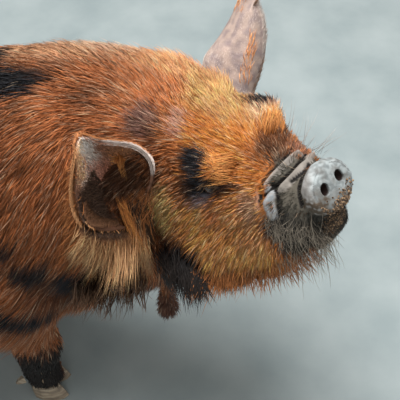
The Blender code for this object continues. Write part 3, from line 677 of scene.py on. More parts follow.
# Seen in the photo: place and half size there, colour, strength.
SPOTS = {
    "neck": (110, 95, 95, 62, srgb(196, 120, 72), 0.9),
    "mane": (95, 54, 108, 18, srgb(222, 160, 118), 0.85),
    "mane tips": (130, 46, 70, 10, srgb(240, 190, 160), 0.7),
    "face": (240, 190, 92, 112, GINGER, 1.0),
    # Partly painted light: the forehead's paler ginger made brighter still for the light from above.
    "forehead": (238, 98, 50, 46, srgb(255, 176, 112), 1.0),
    "forehead edge": (268, 112, 18, 18, srgb(250, 184, 150), 0.8),
    "crown": (185, 68, 44, 22, srgb(250, 168, 114), 0.85),
    "temple": (172, 160, 18, 34, srgb(160, 100, 62), 0.7),
    # Painted light: a bright spot that lifts the shade on the cheek in front of the ear.
    "side of face": (166, 210, 15, 28, srgb(255, 190, 120), 1.0),
    "cheek": (226, 234, 66, 38, srgb(236, 154, 86), 0.85),
    "cheek fore": (254, 226, 16, 26, srgb(226, 150, 96), 0.6),
    # Painted shade under the jowl.
    "under jowl": (215, 276, 66, 20, srgb(128, 82, 50), 0.8),
    "bridge": (276, 144, 18, 18, srgb(58, 40, 32), 0.85),
    "bridge low": (262, 156, 15, 11, srgb(92, 58, 38), 0.55),
    "nose top": (300, 150, 14, 7, srgb(168, 120, 100), 0.8),
    "muzzle": (314, 232, 46, 36, srgb(56, 52, 46), 1.0),
    "nose side": (292, 186, 24, 38, srgb(84, 80, 70), 1.0),
    "muzzle side": (282, 226, 17, 20, srgb(62, 60, 60), 0.9),
    "muzzle edge": (296, 274, 34, 9, srgb(150, 108, 74), 0.5),
    "cheek edge": (254, 204, 9, 17, srgb(196, 156, 132), 0.7),
    "cheek top": (226, 212, 22, 14, srgb(236, 142, 84), 0.8),
    "rump end": (3, 60, 16, 15, BLACK, 1.0),
    "shoulder band": (22, 81, 44, 15, BLACK, 1.0),
    "shoulder streak": (60, 74, 22, 6, UMBER, 0.6),
    "poll": (150, 126, 15, 15, SLATE, 0.7),
    "poll dark": (158, 138, 9, 10, UMBER, 0.7),
    "temple grey": (184, 126, 8, 11, srgb(190, 158, 150), 0.6),
    "behind poll": (100, 100, 26, 9, UMBER, 0.5),
    "ear front": (157, 172, 7, 24, UMBER, 0.7),
    "brow patch": (199, 164, 14, 18, BLACK, 1.0),
    # Painted shade: a black band, with its outer end, where the eye lies in shade under the brow; the far eye
    # gets its mirror.
    "eye band": (208, 186, 24, 13, BLACK, 1.0),
    "eye outer": (232, 184, 15, 6, srgb(56, 38, 32), 0.9),
    # Painted highlight: a grey glint on the skin fold under the eye; the far eye gets its mirror.
    "under eye": (207, 200, 12, 6, srgb(128, 122, 132), 0.75),
    "before ear": (188, 190, 9, 14, srgb(96, 66, 48), 0.6),
    "far brow": (247, 90, 7, 5, BLACK, 0.9),
    "ear hollow": (122, 172, 26, 30, srgb(92, 62, 44), 0.95),
    "jaw shadow": (176, 268, 30, 38, BLACK, 1.0),
    # Painted shade along the underside of the jowl.
    "jowl under": (230, 280, 46, 12, srgb(120, 76, 46), 0.7),
    "throat": (136, 282, 44, 20, srgb(76, 48, 36), 0.9),
    "breast": (64, 280, 34, 34, srgb(112, 70, 46), 0.85),
    "shoulder speck": (10, 240, 13, 12, BLACK, 0.9),
    "shoulder spot": (40, 262, 20, 14, BLACK, 0.95),
    "ear base spot": (84, 268, 18, 20, BLACK, 1.0),
    "elbow band": (22, 310, 42, 14, BLACK, 1.0),
    "foreleg": (40, 372, 48, 36, srgb(44, 38, 36), 1.0),
    "fan root": (112, 232, 26, 14, srgb(196, 140, 88), 0.6),
    "wattle": (166, 310, 14, 24, srgb(104, 66, 50), 1.0),
}
SPOT_DEPTH = 0.055
EAR_INSIDE = srgb(140, 98, 76)
TWIN_SPOTS = ("brow patch", "eye band", "eye outer", "muzzle", "nose side", "muzzle side", "jaw shadow",
              "under eye")

# Not seen: place from the model's middle and half size in metres, colour, strength.
FAR_SPOTS = {
    "saddle": ((-0.20, 0.06, 0.52), (0.11, 0.10, 0.05), BLACK, 0.95),
    "left flank": ((-0.36, 0.19, 0.36), (0.09, 0.05, 0.09), BLACK, 0.95),
    "left shoulder": ((0.06, 0.17, 0.40), (0.05, 0.05, 0.07), BLACK, 0.9),
    "left rump": ((-0.60, 0.13, 0.44), (0.06, 0.07, 0.06), BLACK, 0.9),
    "left belly": ((-0.12, 0.15, 0.24), (0.08, 0.05, 0.03), UMBER, 0.8),
    "right flank": ((-0.26, -0.19, 0.36), (0.08, 0.05, 0.07), BLACK, 0.95),
    "right ham": ((-0.52, -0.17, 0.33), (0.07, 0.05, 0.09), BLACK, 0.9),
    "right loin": ((-0.46, -0.08, 0.52), (0.05, 0.07, 0.04), UMBER, 0.8),
    "rump": ((-0.70, -0.05, 0.38), (0.05, 0.06, 0.06), BLACK, 0.85),
    "belly": ((-0.30, 0.00, 0.17), (0.20, 0.09, 0.03), FAWN, 0.6),
    "left foreleg": ((0.02, 0.10, 0.09), (0.06, 0.06, 0.08), srgb(60, 46, 40), 0.9),
    "left hind leg": ((-0.59, 0.10, 0.08), (0.07, 0.06, 0.08), srgb(66, 50, 42), 0.9),
    "right hind leg": ((-0.59, -0.10, 0.10), (0.07, 0.06, 0.10), BLACK, 0.9),
    "tail end": ((-0.74, 0.0, 0.28), (0.03, 0.03, 0.06), BLACK, 0.9),
}
view_axes = np.array((RIGHT, UP, LOOK)).T
skin_tree = tree_of(skin)


def ragged(points, scale, seed):
    """A number from -1 to 1 that wanders over the points."""
    return np.array([noise.noise(Vector(p) * scale + Vector((seed, 0, 0))) for p in points])


# Inside the right ear, as the photo shows it.
EAR_SPOTS = {
    "pale tip": (86, 150, 10, 10, srgb(226, 214, 204), 0.9),
    "grey side": (91, 170, 13, 22, srgb(192, 178, 168), 0.8),
    "red middle": (104, 178, 12, 18, srgb(176, 116, 92), 0.8),
    "tan side": (80, 165, 4, 24, srgb(214, 160, 112), 0.8),
    "brown top": (132, 154, 22, 9, srgb(160, 108, 70), 0.7),
    "tuft": (121, 167, 6, 11, srgb(220, 136, 62), 0.9),
    "hollow": (141, 163, 9, 13, srgb(66, 46, 34), 0.9),
    "brown root": (118, 194, 16, 12, srgb(120, 78, 46), 0.8),
    "dark foot": (94, 206, 20, 20, srgb(52, 40, 36), 0.95),
}
TWIN_SCALE = 0.72


def spot_at(spot, tree):
    """A spot's middle, the axes that give how far out a point is, its colour and its strength."""
    px, py, wide, high, colour, strength = spot
    middle = seen(px, py, tree)[0]
    metre = (middle - camera.location).dot(LOOK) / FOCAL
    half = np.array((wide * metre, high * metre, max(SPOT_DEPTH, wide * metre)))
    return np.array(middle), view_axes / half, colour, strength


spots = []
for name, spot in SPOTS.items():
    spots.append(spot_at(spot, skin_tree))
    if name in TWIN_SPOTS:
        middle, scale, colour, strength = spots[-1]
        across = HEAD_TURNED[:, 1]
        turned_axes = scale - 2 * np.outer(across, across @ scale)
        spots.append((np.array(mirror(middle)), turned_axes / TWIN_SCALE, colour, strength))
for middle, half, colour, strength in FAR_SPOTS.values():
    spots.append((np.array(Vector(middle) + SHIFT), np.eye(3) / np.array(half), colour, strength))
ear_spots = [spot_at(spot, skin_tree) for spot in EAR_SPOTS.values()]


def spotted(points, base, chosen, wander):
    colour = np.tile(base, (len(points), 1))
    for middle, scale, tint, strength in chosen:
        reach = np.linalg.norm((points - middle) @ scale, axis=1) + wander
        share = np.clip((1.22 - reach) / 0.44, 0, 1)
        share = strength * share * share * (3 - 2 * share)
        colour += (tint - colour) * share[:, None]
    return colour


def markings(points):
    """The coat's colour at each point."""
    points = np.asarray(points)
    return spotted(points, RUST, spots, 0.32 * ragged(points, 38.0, 3.0) + 0.16 * ragged(points, 130.0, 9.0))


def ear_markings(points):
    """The colour inside the right ear at each point."""
    return spotted(np.asarray(points), EAR_INSIDE, ear_spots, 0.3 * ragged(points, 110.0, 4.0))


print("markings", len(spots))

# %% [markdown]
# Some skin is bare: the snout disc, the ridges behind it, the swollen fold, the lids and the hollows of the
# ears. The rest is darker than its hair, painted shade under the coat.

# %% Bare skin and the skin's colours
RIDGES = {"front ridge": 0.0046, "rear ridge": 0.0038, "bare fold": 0.0066}
CREASES = {"crease by the disc": 0.0022, "crease between ridges": 0.0021, "crease behind ridges": 0.0022,
           "crease by the fold": 0.0022}
NOSE_BARE = (0.092, 0.0, -0.014)
NOSE_BARE_SIZE = (0.030, 0.060, 0.034)
NOSE_PLACE = (0.085, 0, -0.02)
NOSE_REACH = 0.08
SHADE_UNDER_HAIR = 0.50
NOSE_SKIN = srgb(96, 90, 80)
RIDGE_COLOUR = srgb(150, 142, 134)
CREASE_SHADE = srgb(24, 20, 18)
DISC_RIM = srgb(196, 190, 186)
DISC_DIRT = srgb(84, 72, 60)
NOSTRIL_COLOUR = srgb(36, 22, 18)
EAR_PINK = srgb(184, 162, 150)
EAR_GREY = srgb(124, 112, 118)
EAR_RUST = srgb(112, 80, 62)
EAR_NEAR = 0.0009
EAR_BOWL = 0.030
MARGIN_WIDTH = 0.0036


def on_disc(points):
    """1 on the snout disc's plate and rim, 0 off it."""
    place = np.array(DISC.translation)
    q = (np.asarray(points) - place) @ np.array(DISC.to_3x3())
    reach = np.hypot(q[:, 1] / DISC_HALF[0], q[:, 2] / DISC_HALF[1])
    return np.clip((1.14 - reach) / 0.06, 0, 1) * np.clip((q[:, 0] + 0.012) / 0.004, 0, 1)


def near_lines(points, names, both_sides=True):
    """1 on these folds of the nose, 0 off them."""
    share = np.zeros(len(points))
    near = np.linalg.norm(head_axes(points) - NOSE_PLACE, axis=1) < NOSE_REACH
    for name, width in names.items():
        line = line_over(FOLDS[name][0], skin_tree)
        for one in (line, np.array([mirror(p) for p in line]))[:1 + both_sides]:
            share[near] = np.maximum(share[near], bell(distance_to(np.asarray(points)[near], one), width))
    return np.clip((share - 0.25) / 0.3, 0, 1)


def on_nose(points):
    """1 on the wrinkled, nearly bare sides of the nose behind the disc."""
    wander = 0.25 * ragged(points, 90.0, 5.0)
    reach = np.linalg.norm((head_axes(points) - NOSE_BARE) / NOSE_BARE_SIZE, axis=1) + wander
    return np.clip((1.1 - reach) / 0.3, 0, 1)


def ear_of(points):
    """For each point the ear it is on and whether it is on the hollow side: 0 none, 1 outside, 2 inside."""
    out = np.zeros(len(points), dtype=int)
    for name, spec in EARS.items():
        root, axis, face = (np.array(v) for v in ear_frame(spec)[:3])
        q = np.asarray(points) - root
        along = q @ axis
        for i in np.flatnonzero((along > -0.03) & (along < 0.16) & (np.linalg.norm(q, axis=1) < 0.17)):
            hit = ear_trees[name].find_nearest(Vector(points[i]))
            if hit[3] < EAR_NEAR:
                middle = root + axis * along[i] + face * EAR_BOWL
                out[i] = 2 if np.array(hit[1]) @ (middle - points[i]) > 0 else 1
    return out


skin_points = corners(skin.data)
ear_side = ear_of(skin_points)
# Painted shade: the skin under the coat is its markings darkened by half.
colour = markings(skin_points) * SHADE_UNDER_HAIR
disc_share = on_disc(skin_points)[:, None]
nose_share = on_nose(skin_points)[:, None]
ridge_share = near_lines(skin_points, RIDGES)[:, None]
fold_share = near_lines(skin_points, {"bare fold": RIDGES["bare fold"]}, False)[:, None]
crease_shade_share = near_lines(skin_points, CREASES)[:, None]
colour += (NOSE_SKIN - colour) * nose_share
colour += (RIDGE_COLOUR - colour) * ridge_share * 0.8
fold_mottle = np.clip(0.62 + 1.1 * ragged(skin_points, 420.0, 21.0), 0.15, 1)[:, None]
colour += (PALE_FOLD - colour) * fold_share * fold_mottle
# Painted shade: the creases behind the disc darkened to near black.
colour += (CREASE_SHADE - colour) * crease_shade_share
grime = np.clip(ragged(skin_points, 120.0, 7.0) * 1.6 + 0.4, 0, 1)[:, None]
disc_place = (skin_points - np.array(DISC.translation)) @ np.array(DISC.to_3x3())
low_edge = np.clip((-disc_place[:, 2] * 0.8 - disc_place[:, 1] * 0.6) / 0.030, 0, 1)[:, None]
disc_reach = np.hypot(disc_place[:, 1] / DISC_HALF[0], disc_place[:, 2] / DISC_HALF[1])
rim_edge = np.clip(disc_reach * 4 - 3, 0, 1)[:, None]
left_edge = np.clip(disc_place[:, 1] * -40.0, 0, 1)[:, None]
blotch = np.clip(ragged(skin_points, 260.0, 13.0) * 2.2 + 0.5, 0, 1)[:, None]
disc_colour = DISC_GREY * (0.86 + 0.52 * blotch)
disc_colour = disc_colour + (DISC_RIM - disc_colour) * rim_edge * left_edge * 0.7
dirt = np.clip(0.40 * grime + 1.1 * low_edge * (0.3 + blotch), 0, 1)
disc_colour = disc_colour + (DISC_DIRT - disc_colour) * dirt
colour += (disc_colour - colour) * disc_share
hollow = np.clip((0.0046 - disc_place[:, 0]) / 0.0012, 0, 1) * (rim_edge[:, 0] < 0.1) * disc_share[:, 0]
colour += (NOSTRIL_COLOUR - colour) * hollow[:, None]
inside = (ear_side == 2)[:, None]
colour = np.where(inside, ear_markings(skin_points) * (0.45 + 0.5 * grime), colour)
pale_back = EAR_PINK + (EAR_GREY - EAR_PINK) * grime * 0.6
back = np.where((head_axes(skin_points)[:, 1] > 0)[:, None], pale_back, EAR_RUST)
colour = np.where((ear_side == 1)[:, None], back, colour)
pale_margin = np.array([ear_place(EARS["ear_right"], -1, v) for v in np.linspace(0.50, 0.97, 20)])
dark_margin = np.array([ear_place(EARS["ear_right"], 1, v) for v in np.linspace(0.0, 0.70, 24)])
on_ear = ear_side > 0
for margin, tint in ((pale_margin, srgb(160, 146, 138)), (dark_margin, srgb(88, 60, 44))):
    near = bell(distance_to(skin_points[on_ear], margin), MARGIN_WIDTH)[:, None]
    colour[on_ear] += (tint - colour[on_ear]) * np.clip(near * 1.5, 0, 1)
layer = skin.data.color_attributes.new("markings", "FLOAT_COLOR", "POINT")
layer.data.foreach_set("color", np.hstack((colour, np.ones((len(colour), 1)))).ravel())
print("bare skin", int(disc_share.sum()), int(ridge_share.sum()), "ear inside", int(inside.sum()))

# %% [markdown]
# The way the hair lies is combed in with strokes. A stroke is a short line over the photo from root to tip,
# with how long the hair is there in millimetres and how much it stands. Between strokes the hair takes a
# blend of the nearest ones. Where there is none it lies back over the head and back and down over the body.

# %% Strokes of the comb
STROKES = {
    "mane top": (137, 75, 123, 58, 30, 0.26),
    "mane rear": (92, 60, 66, 50, 32, 0.20),
    "mane back": (50, 55, 22, 52, 32, 0.16),
    "withers": (90, 75, 60, 64, 32, 0.20),
    "neck upper": (80, 92, 45, 95, 33, 0.24),
    "neck middle": (60, 112, 25, 128, 33, 0.24),
    "neck lower": (40, 140, 15, 170, 31, 0.24),
    "neck front": (115, 92, 85, 82, 30, 0.28),
    "neck by ear": (120, 115, 85, 118, 27, 0.24),
    "neck at ear": (75, 150, 55, 180, 27, 0.20),
    "crown": (160, 100, 154, 72, 26, 0.32),
    "crown fore": (184, 110, 180, 85, 22, 0.35),
    "crown edge": (190, 80, 182, 60, 22, 0.32),
    "temple": (205, 130, 196, 110, 15, 0.30),
    "poll": (150, 128, 143, 112, 20, 0.35),
    "ear front": (172, 148, 160, 172, 14, 0.25),
    "forehead top": (225, 85, 212, 70, 17, 0.38),
    "forehead": (212, 105, 203, 88, 17, 0.32),
    "forehead fore": (248, 118, 232, 104, 15, 0.30),
    "forehead edge": (262, 100, 248, 86, 14, 0.38),
    "bridge top": (282, 130, 268, 114, 13, 0.38),
    "bridge": (268, 136, 250, 126, 13, 0.32),
    "brow": (242, 147, 220, 142, 15, 0.32),
    "brow lower": (235, 160, 207, 168, 13, 0.35),
    "eye corner": (255, 165, 235, 172, 10, 0.25),
    "cheek upper": (258, 195, 228, 212, 12, 0.25),
    "under eye": (236, 198, 218, 214, 10, 0.25),
    "cheek": (220, 215, 200, 242, 16, 0.25),
    "cheek middle": (240, 222, 222, 246, 17, 0.25),
    "jowl": (216, 243, 202, 268, 20, 0.34),
    "jowl fore": (246, 250, 238, 276, 20, 0.30),
    "jaw": (258, 262, 254, 288, 18, 0.36),
    "under jaw": (222, 274, 214, 298, 24, 0.45),
    "muzzle rear": (274, 240, 280, 268, 11, 0.22),
    "muzzle": (296, 236, 304, 264, 8, 0.22),
    "muzzle fore": (308, 222, 324, 248, 7, 0.22),
    "lip": (325, 232, 334, 252, 6, 0.22),
    "side of face": (172, 200, 158, 228, 16, 0.25),
    "jowl rear": (180, 222, 166, 250, 20, 0.28),
    "shoulder": (25, 200, 8, 228, 33, 0.19),
    "shoulder low": (45, 250, 22, 272, 33, 0.19),
    "shoulder side": (62, 225, 42, 252, 30, 0.19),
    "arm": (30, 282, 5, 295, 33, 0.19),
    "breast": (85, 275, 66, 300, 33, 0.22),
    "throat": (112, 275, 96, 300, 38, 0.35),
}
COMB_REACH = 0.026
COMB_DEFAULT = 0.03
BODY_HAIR = 0.042
HEAD_SHORTER = 0.020
MUZZLE_HAIR = 0.010
BODY_STAND = 0.15
HANGING_HAIR = 0.014
HANGING_STAND = 0.34
DOWN = (-0.05, 0.0, -1.0)
DOWN_THE_LEG = (-0.15, 0.0, -1.0)
HEAD_STARTS = -0.12

comb_from, comb_way, comb_length, comb_stand = [], [], [], []
for x0, y0, x1, y1, length, stand in STROKES.values():
    start, end = seen(x0, y0, skin_tree)[0], seen(x1, y1, skin_tree)[0]
    pairs = [(start, end)]
    if head_axes([start])[0, 0] > HEAD_STARTS:
        pairs.append((mirror(start), mirror(end)))
    for a, b in pairs:
        comb_from.append((a + b) / 2)
        comb_way.append((b - a).normalized())
        comb_length.append(length / 1000)
        comb_stand.append(stand)
comb_from, comb_way = np.array(comb_from), np.array(comb_way)
comb_length, comb_stand = np.array(comb_length), np.array(comb_stand)
print("strokes", len(comb_from))


def unit(v):
    return v / np.maximum(np.linalg.norm(v, axis=1, keepdims=True), 1e-9)


def along_skin(way, normal):
    return unit(way - normal * np.sum(way * normal, axis=1, keepdims=True))


def in_box(points, name, grow=0.0):
    low, high = (np.array(corner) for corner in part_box(name))
    return np.all((points > low - grow) & (points < high + grow), axis=1)


def on_leg(points):
    legs = [f"leg_{which}_{side}" for which in ("fore", "hind") for side in ("left", "right")]
    return np.any([in_box(points, name) for name in legs], axis=0) & (points[:, 2] < 0.20)


def comb(points, normals):
    """Way, length and stand of the hair at each point."""
    local = head_axes(points)
    head_share = np.clip((local[:, 0] + 0.16) / 0.06, 0, 1)[:, None]
    flank = np.sqrt(np.clip(1 - normals[:, 2] ** 2, 0, 1))
    body_way = np.column_stack((-np.ones(len(points)), np.zeros(len(points)), -0.55 * flank))
    low = np.clip((-local[:, 2] - 0.01) / 0.10, 0, 1)
    over_head = np.column_stack((-np.ones(len(points)), 0.25 * np.sign(local[:, 1]), 0.15 - 1.1 * low))
    way = body_way * (1 - head_share) + (over_head @ HEAD_TURNED.T) * head_share
    leg = on_leg(points)
    way[leg] = DOWN_THE_LEG
    length = BODY_HAIR - HEAD_SHORTER * head_share[:, 0]
    length = np.where(local[:, 0] > 0.05, MUZZLE_HAIR, length)
    length = np.where(leg, 0.010 + 0.10 * np.clip(points[:, 2] - 0.04, 0, 0.2), length)
    stand = np.full(len(points), BODY_STAND)
    hanging = np.any([in_box(points, name, 0.004) for name in ("wattle_left", "wattle_right", "tail")],
                     axis=0)
    way[hanging] = DOWN
    length[hanging] = HANGING_HAIR
    stand[hanging] = HANGING_STAND
    way, length, stand = way * COMB_DEFAULT, length * COMB_DEFAULT, stand * COMB_DEFAULT
    weight = np.zeros(len(points)) + COMB_DEFAULT
    for start, to, long, up in zip(comb_from, comb_way, comb_length, comb_stand):
        share = np.exp(-np.sum((points - start) ** 2, axis=1) / (2 * COMB_REACH**2))
        share[leg | hanging] = 0.0
        way += to * share[:, None]
        length += long * share
        stand += up * share
        weight += share
    return along_skin(way, normals), length / weight, stand / weight


# %% [markdown]
# A tuft is a closed blade: triangles along a bent line, drawn to a tip. Arrays make many at once, because a
# hundred thousand of them would take an operator too long. The map OFBake gives each tuft a small patch at
# its root's place on an unwrap of the skin, so that a baked picture holds every tuft's colour.

# %% Tufts from arrays
PATCH = 0.003


def make_tufts(name, lines, up, width, root_colour, tip_colour, unwrap, thick=0.45):
    """One mesh of tufts. lines has for each tuft its points from root to tip."""
    count, steps = lines.shape[0], lines.shape[1]
    rings = steps - 1
    share = np.linspace(0, 1, steps)
    swell = (0.70 + 0.85 * share - 1.35 * share**2)[:rings]
    ahead = unit((lines[:, 1:] - lines[:, :-1]).reshape(-1, 3)).reshape(count, rings, 3)
    side = np.cross(up[:, None, :], ahead)
    side /= np.maximum(np.linalg.norm(side, axis=2, keepdims=True), 1e-9)
    rise = np.cross(ahead, side)
    half = (width[:, None] * swell[None, :] / 2)[:, :, None]
    base = lines[:, :rings]
    ring = np.stack((base + side * half, base + rise * half * 2 * thick, base - side * half), axis=2)
    verts = np.concatenate((ring.reshape(count, rings * 3, 3), lines[:, -1:]), axis=1)
    per = rings * 3 + 1
    quads = []
    for r in range(rings - 1):
        for k in range(3):
            a, b = r * 3 + k, r * 3 + (k + 1) % 3
            quads.append((a, b, b + 3, a + 3))
    last = (rings - 1) * 3
    tris = [(2, 1, 0)] + [(last + k, last + (k + 1) % 3, per - 1) for k in range(3)]
    pattern = [i for face in quads + tris for i in face]
    sizes = [len(face) for face in quads + tris]
    loops = (np.arange(count)[:, None] * per + np.array(pattern)[None, :]).ravel()
    totals = np.tile(sizes, count)
    mesh = bpy.data.meshes.new(name)
    mesh.vertices.add(count * per)
    mesh.vertices.foreach_set("co", verts.ravel())
    mesh.loops.add(len(loops))
    mesh.loops.foreach_set("vertex_index", loops.astype(np.int32))
    mesh.polygons.add(len(totals))
    starts = np.concatenate(([0], np.cumsum(totals)[:-1]))
    mesh.polygons.foreach_set("loop_start", starts.astype(np.int32))
    mesh.polygons.foreach_set("use_smooth", np.ones(len(totals), dtype=bool))
    mesh.update(calc_edges=True)
    fade = np.append(np.repeat(share[:rings], 3), 1.0)[None, :, None]
    colour = root_colour[:, None, :] * (1 - fade) + tip_colour[:, None, :] * fade
    colour = np.concatenate((colour, np.ones((count, per, 1))), axis=2)
    layer = mesh.color_attributes.new("markings", "FLOAT_COLOR", "POINT")
    layer.data.foreach_set("color", colour.ravel())
    low, high = unwrap.min(axis=0), unwrap.max(axis=0)
    root_uv = 0.01 + 0.98 * (unwrap - low) / np.maximum(high - low, 1e-6)
    across = np.append(np.tile((-0.5, 0.0, 0.5), rings), 0.0)
    patch = np.column_stack((across, np.append(np.repeat(share[:rings], 3), 1.0) - 0.5)) * PATCH
    corner_uv = root_uv[:, None, :] + patch[None, :, :]
    uv = mesh.uv_layers.new(name="OFBake")
    uv.data.foreach_set("uv", corner_uv[:, pattern, :].ravel())
    obj = bpy.data.objects.new(name, mesh)
    bpy.context.scene.collection.objects.link(obj)
    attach(obj, "root")
    coat_pieces.append(obj)
    print(name, count, "tufts")


coat_pieces = []

# %% [markdown]
# Roots are strewn over the skin's triangles, more where the hair is fine and near, and none on bare skin. A
# root takes the skin's normal there, and a tuft's tip is drawn a little to the nearest of some gathering
# points, as wet or coarse hair clumps.

# %% Roots
EDGE_BLUR = 0.0028
DARK_SHARE = 0.14
PALE_TIP = srgb(250, 214, 178)
STREAK = 0.24
SWAY = 0.22
DROOP = 0.10
ROOT_DEPTH = 0.0015
LID_BARE = 0.0026
CLAW_TOP = 0.036
VIEW_REACH = 225
HEAD_EDGE = -0.105
HEAD_LOWEST = 0.30

skin.data.calc_loop_triangles()
triangles = np.empty(len(skin.data.loop_triangles) * 3, dtype=np.int32)
skin.data.loop_triangles.foreach_get("vertices", triangles)
triangles = triangles.reshape(-1, 3)
skin_normals = normals_of(skin.data)
tri_corners = skin_points[triangles]
tri_middle = tri_corners.mean(axis=1)
tri_cross = np.cross(tri_corners[:, 1] - tri_corners[:, 0], tri_corners[:, 2] - tri_corners[:, 0])
tri_area = np.linalg.norm(tri_cross, axis=1) / 2
tri_out = unit(tri_cross)
tri_local = head_axes(tri_middle)
tri_ear = (ear_side[triangles] > 0).all(axis=1)
tri_bare = np.maximum.reduce((on_disc(tri_middle), near_lines(tri_middle, RIDGES),
                              near_lines(tri_middle, CREASES), 0.80 * on_nose(tri_middle)))
eye_gap = np.minimum(*[np.linalg.norm(tri_middle - np.array(HEAD @ p), axis=1) for p in both(EYE_MIDDLE)])
tri_open = (eye_gap > EYE_RADIUS + LID_BARE) & (tri_middle[:, 2] > CLAW_TOP) & ~tri_ear
tri_hairy = tri_area * (1 - tri_bare) * tri_open
offset = tri_middle - np.array(camera.location)
depth = offset @ np.array(LOOK)
frame_x = (offset @ np.array(RIGHT)) / depth * FOCAL
frame_y = (offset @ np.array(UP)) / depth * FOCAL
facing = -np.sum(tri_out * unit(offset), axis=1)
in_view = (abs(frame_x) < VIEW_REACH) & (abs(frame_y) < VIEW_REACH) & (facing > -0.15)
on_head = (tri_local[:, 0] > HEAD_EDGE) & (tri_middle[:, 2] > HEAD_LOWEST)
tri_leg = on_leg(tri_middle)


def strew(count, weight):
    """Random roots over the skin by weight, with their normals."""
    weight = weight * tri_hairy
    picked = rng.choice(len(weight), size=count, p=weight / weight.sum())
    r, t = np.sqrt(rng.random(count))[:, None], rng.random(count)[:, None]
    share = np.stack((1 - r, r * (1 - t), r * t), axis=1)
    roots = (tri_corners[picked] * share).sum(axis=1)
    normals = unit((skin_normals[triangles[picked]] * share).sum(axis=1))
    return roots, normals


def gather(tips, roots, per_clump, pull):
    """Draws each tip towards the mean tip of the hairs that root near it."""
    count = max(len(roots) // per_clump, 1)
    seeds = roots[rng.choice(len(roots), size=count, replace=False)]
    tree = KDTree(count)
    for i, seed in enumerate(seeds):
        tree.insert(seed, i)
    tree.balance()
    clump = np.array([tree.find(root)[1] for root in roots])
    total = np.zeros((count, 3))
    np.add.at(total, clump, tips)
    mean = total / np.maximum(np.bincount(clump, minlength=count), 1)[:, None]
    return tips + (mean[clump] - tips) * pull


def tuft_colours(roots, pale, shade):
    """Root and tip colours: the markings, streaked, with some pale and some dark hairs between."""
    count = len(roots)
    tint = markings(roots + rng.normal(0, EDGE_BLUR, (count, 3)))
    light = rng.normal(1.0, STREAK, (count, 1)).clip(0.45, 1.7)
    light *= 1 + 0.30 * ragged(roots, 60.0, 21.0)[:, None]
    dark = (rng.random((count, 1)) < DARK_SHARE) * 0.55
    tip = tint * shade[1] * light
    bright = np.clip(tint.max(axis=1, keepdims=True) / 0.35, 0.15, 1)
    tip = tip + (PALE_TIP * light - tip) * (rng.random((count, 1)) < pale * bright) * 0.55
    return tint * shade[0] * light * (1 - dark), np.clip(tip * (1 - dark) + 0.004, 0, 1)


def bowed(start, middle, end, steps):
    """For each tuft the points of a bow from its start, drawn towards its middle, to its end."""
    share = np.linspace(0, 1, steps)[None, :, None]
    bend = middle[:, None] * 2 * share * (1 - share)
    return start[:, None] * (1 - share) ** 2 + bend + end[:, None] * share**2


def hair(name, roots, normals, width, steps, unwrap, long=1.0, per_clump=9, pull=0.35, pale=0.16,
         shade=(0.34, 1.30), stand_up=1.0):
    """A piece of combed tufts."""
    count = len(roots)
    way, length, stand = comb(roots, normals)
    side = np.cross(normals, way)
    turn = rng.normal(0, SWAY, count)[:, None]
    way = unit(way * np.cos(turn) + side * np.sin(turn))
    length = (length * long * rng.uniform(0.62, 1.30, count))[:, None]
    stand = (stand * stand_up * rng.uniform(0.5, 1.6, count))[:, None]
    tips = roots + way * length + normals * (stand * length)
    tips = gather(tips, roots, per_clump, pull)
    tips = tips - np.array((0, 0, 1.0)) * length * DROOP
    middle = roots + way * length * 0.5 + normals * (stand * length * 0.85)
    lines = bowed(roots - normals * ROOT_DEPTH, middle, tips, steps)
    root_colour, tip_colour = tuft_colours(roots, pale, shade)
    make_tufts(name, lines, normals, width * rng.uniform(0.7, 1.3, count), root_colour, tip_colour, unwrap)


def head_unwrap(points):
    q = head_axes(points)
    return np.column_stack((q[:, 0], np.arctan2(q[:, 1], q[:, 2] + 0.04)))


def body_unwrap(points):
    return np.column_stack((points[:, 0], np.arctan2(points[:, 1], points[:, 2] - 0.37)))


def leg_unwrap(points):
    fore = (points[:, 0] > -0.3 + SHIFT.x) * 1.0
    left = (points[:, 1] > 0) * 1.0
    hoof = np.where(fore > 0, FORE_HOOF[0], HIND_HOOF[0]) + SHIFT.x
    angle = np.arctan2(points[:, 0] - hoof, abs(points[:, 1]) - 0.095) / math.tau
    return np.column_stack((fore * 2 + left + angle, points[:, 2]))


# %% Coat
HEAD_SHADE = (0.40, 1.50)
CHEEK_STARTS = -0.03
SHOULDER_ENDS = -0.30


def coat(names, count, weight, width, steps, unwrap, **how):
    """Strews roots and combs a tuft on each. Pieces of more than one name follow one another."""
    roots, normals = strew(count, weight)
    order = np.arange(count) if len(names) == 1 else np.argsort(unwrap(roots)[:, 0])
    for name, part in zip(names, np.array_split(order, len(names))):
        hair(name, roots[part], normals[part], width, steps, unwrap(roots[part]), **how)


face_near = on_head & in_view
face_weight = face_near * (1.0 + 0.4 * (tri_local[:, 0] > CHEEK_STARTS))
coat(("under_poll", "under_cheek", "under_face"), 96000, face_weight, 0.00112, 2, head_unwrap, long=0.85,
     shade=HEAD_SHADE)
coat(("coat_face",), 12500, face_near, 0.00080, 3, head_unwrap, long=1.15, stand_up=1.3, pale=0.30,
     shade=HEAD_SHADE)
coat(("under_face_left",), 19000, on_head & ~in_view, 0.0024, 2, head_unwrap, shade=HEAD_SHADE)

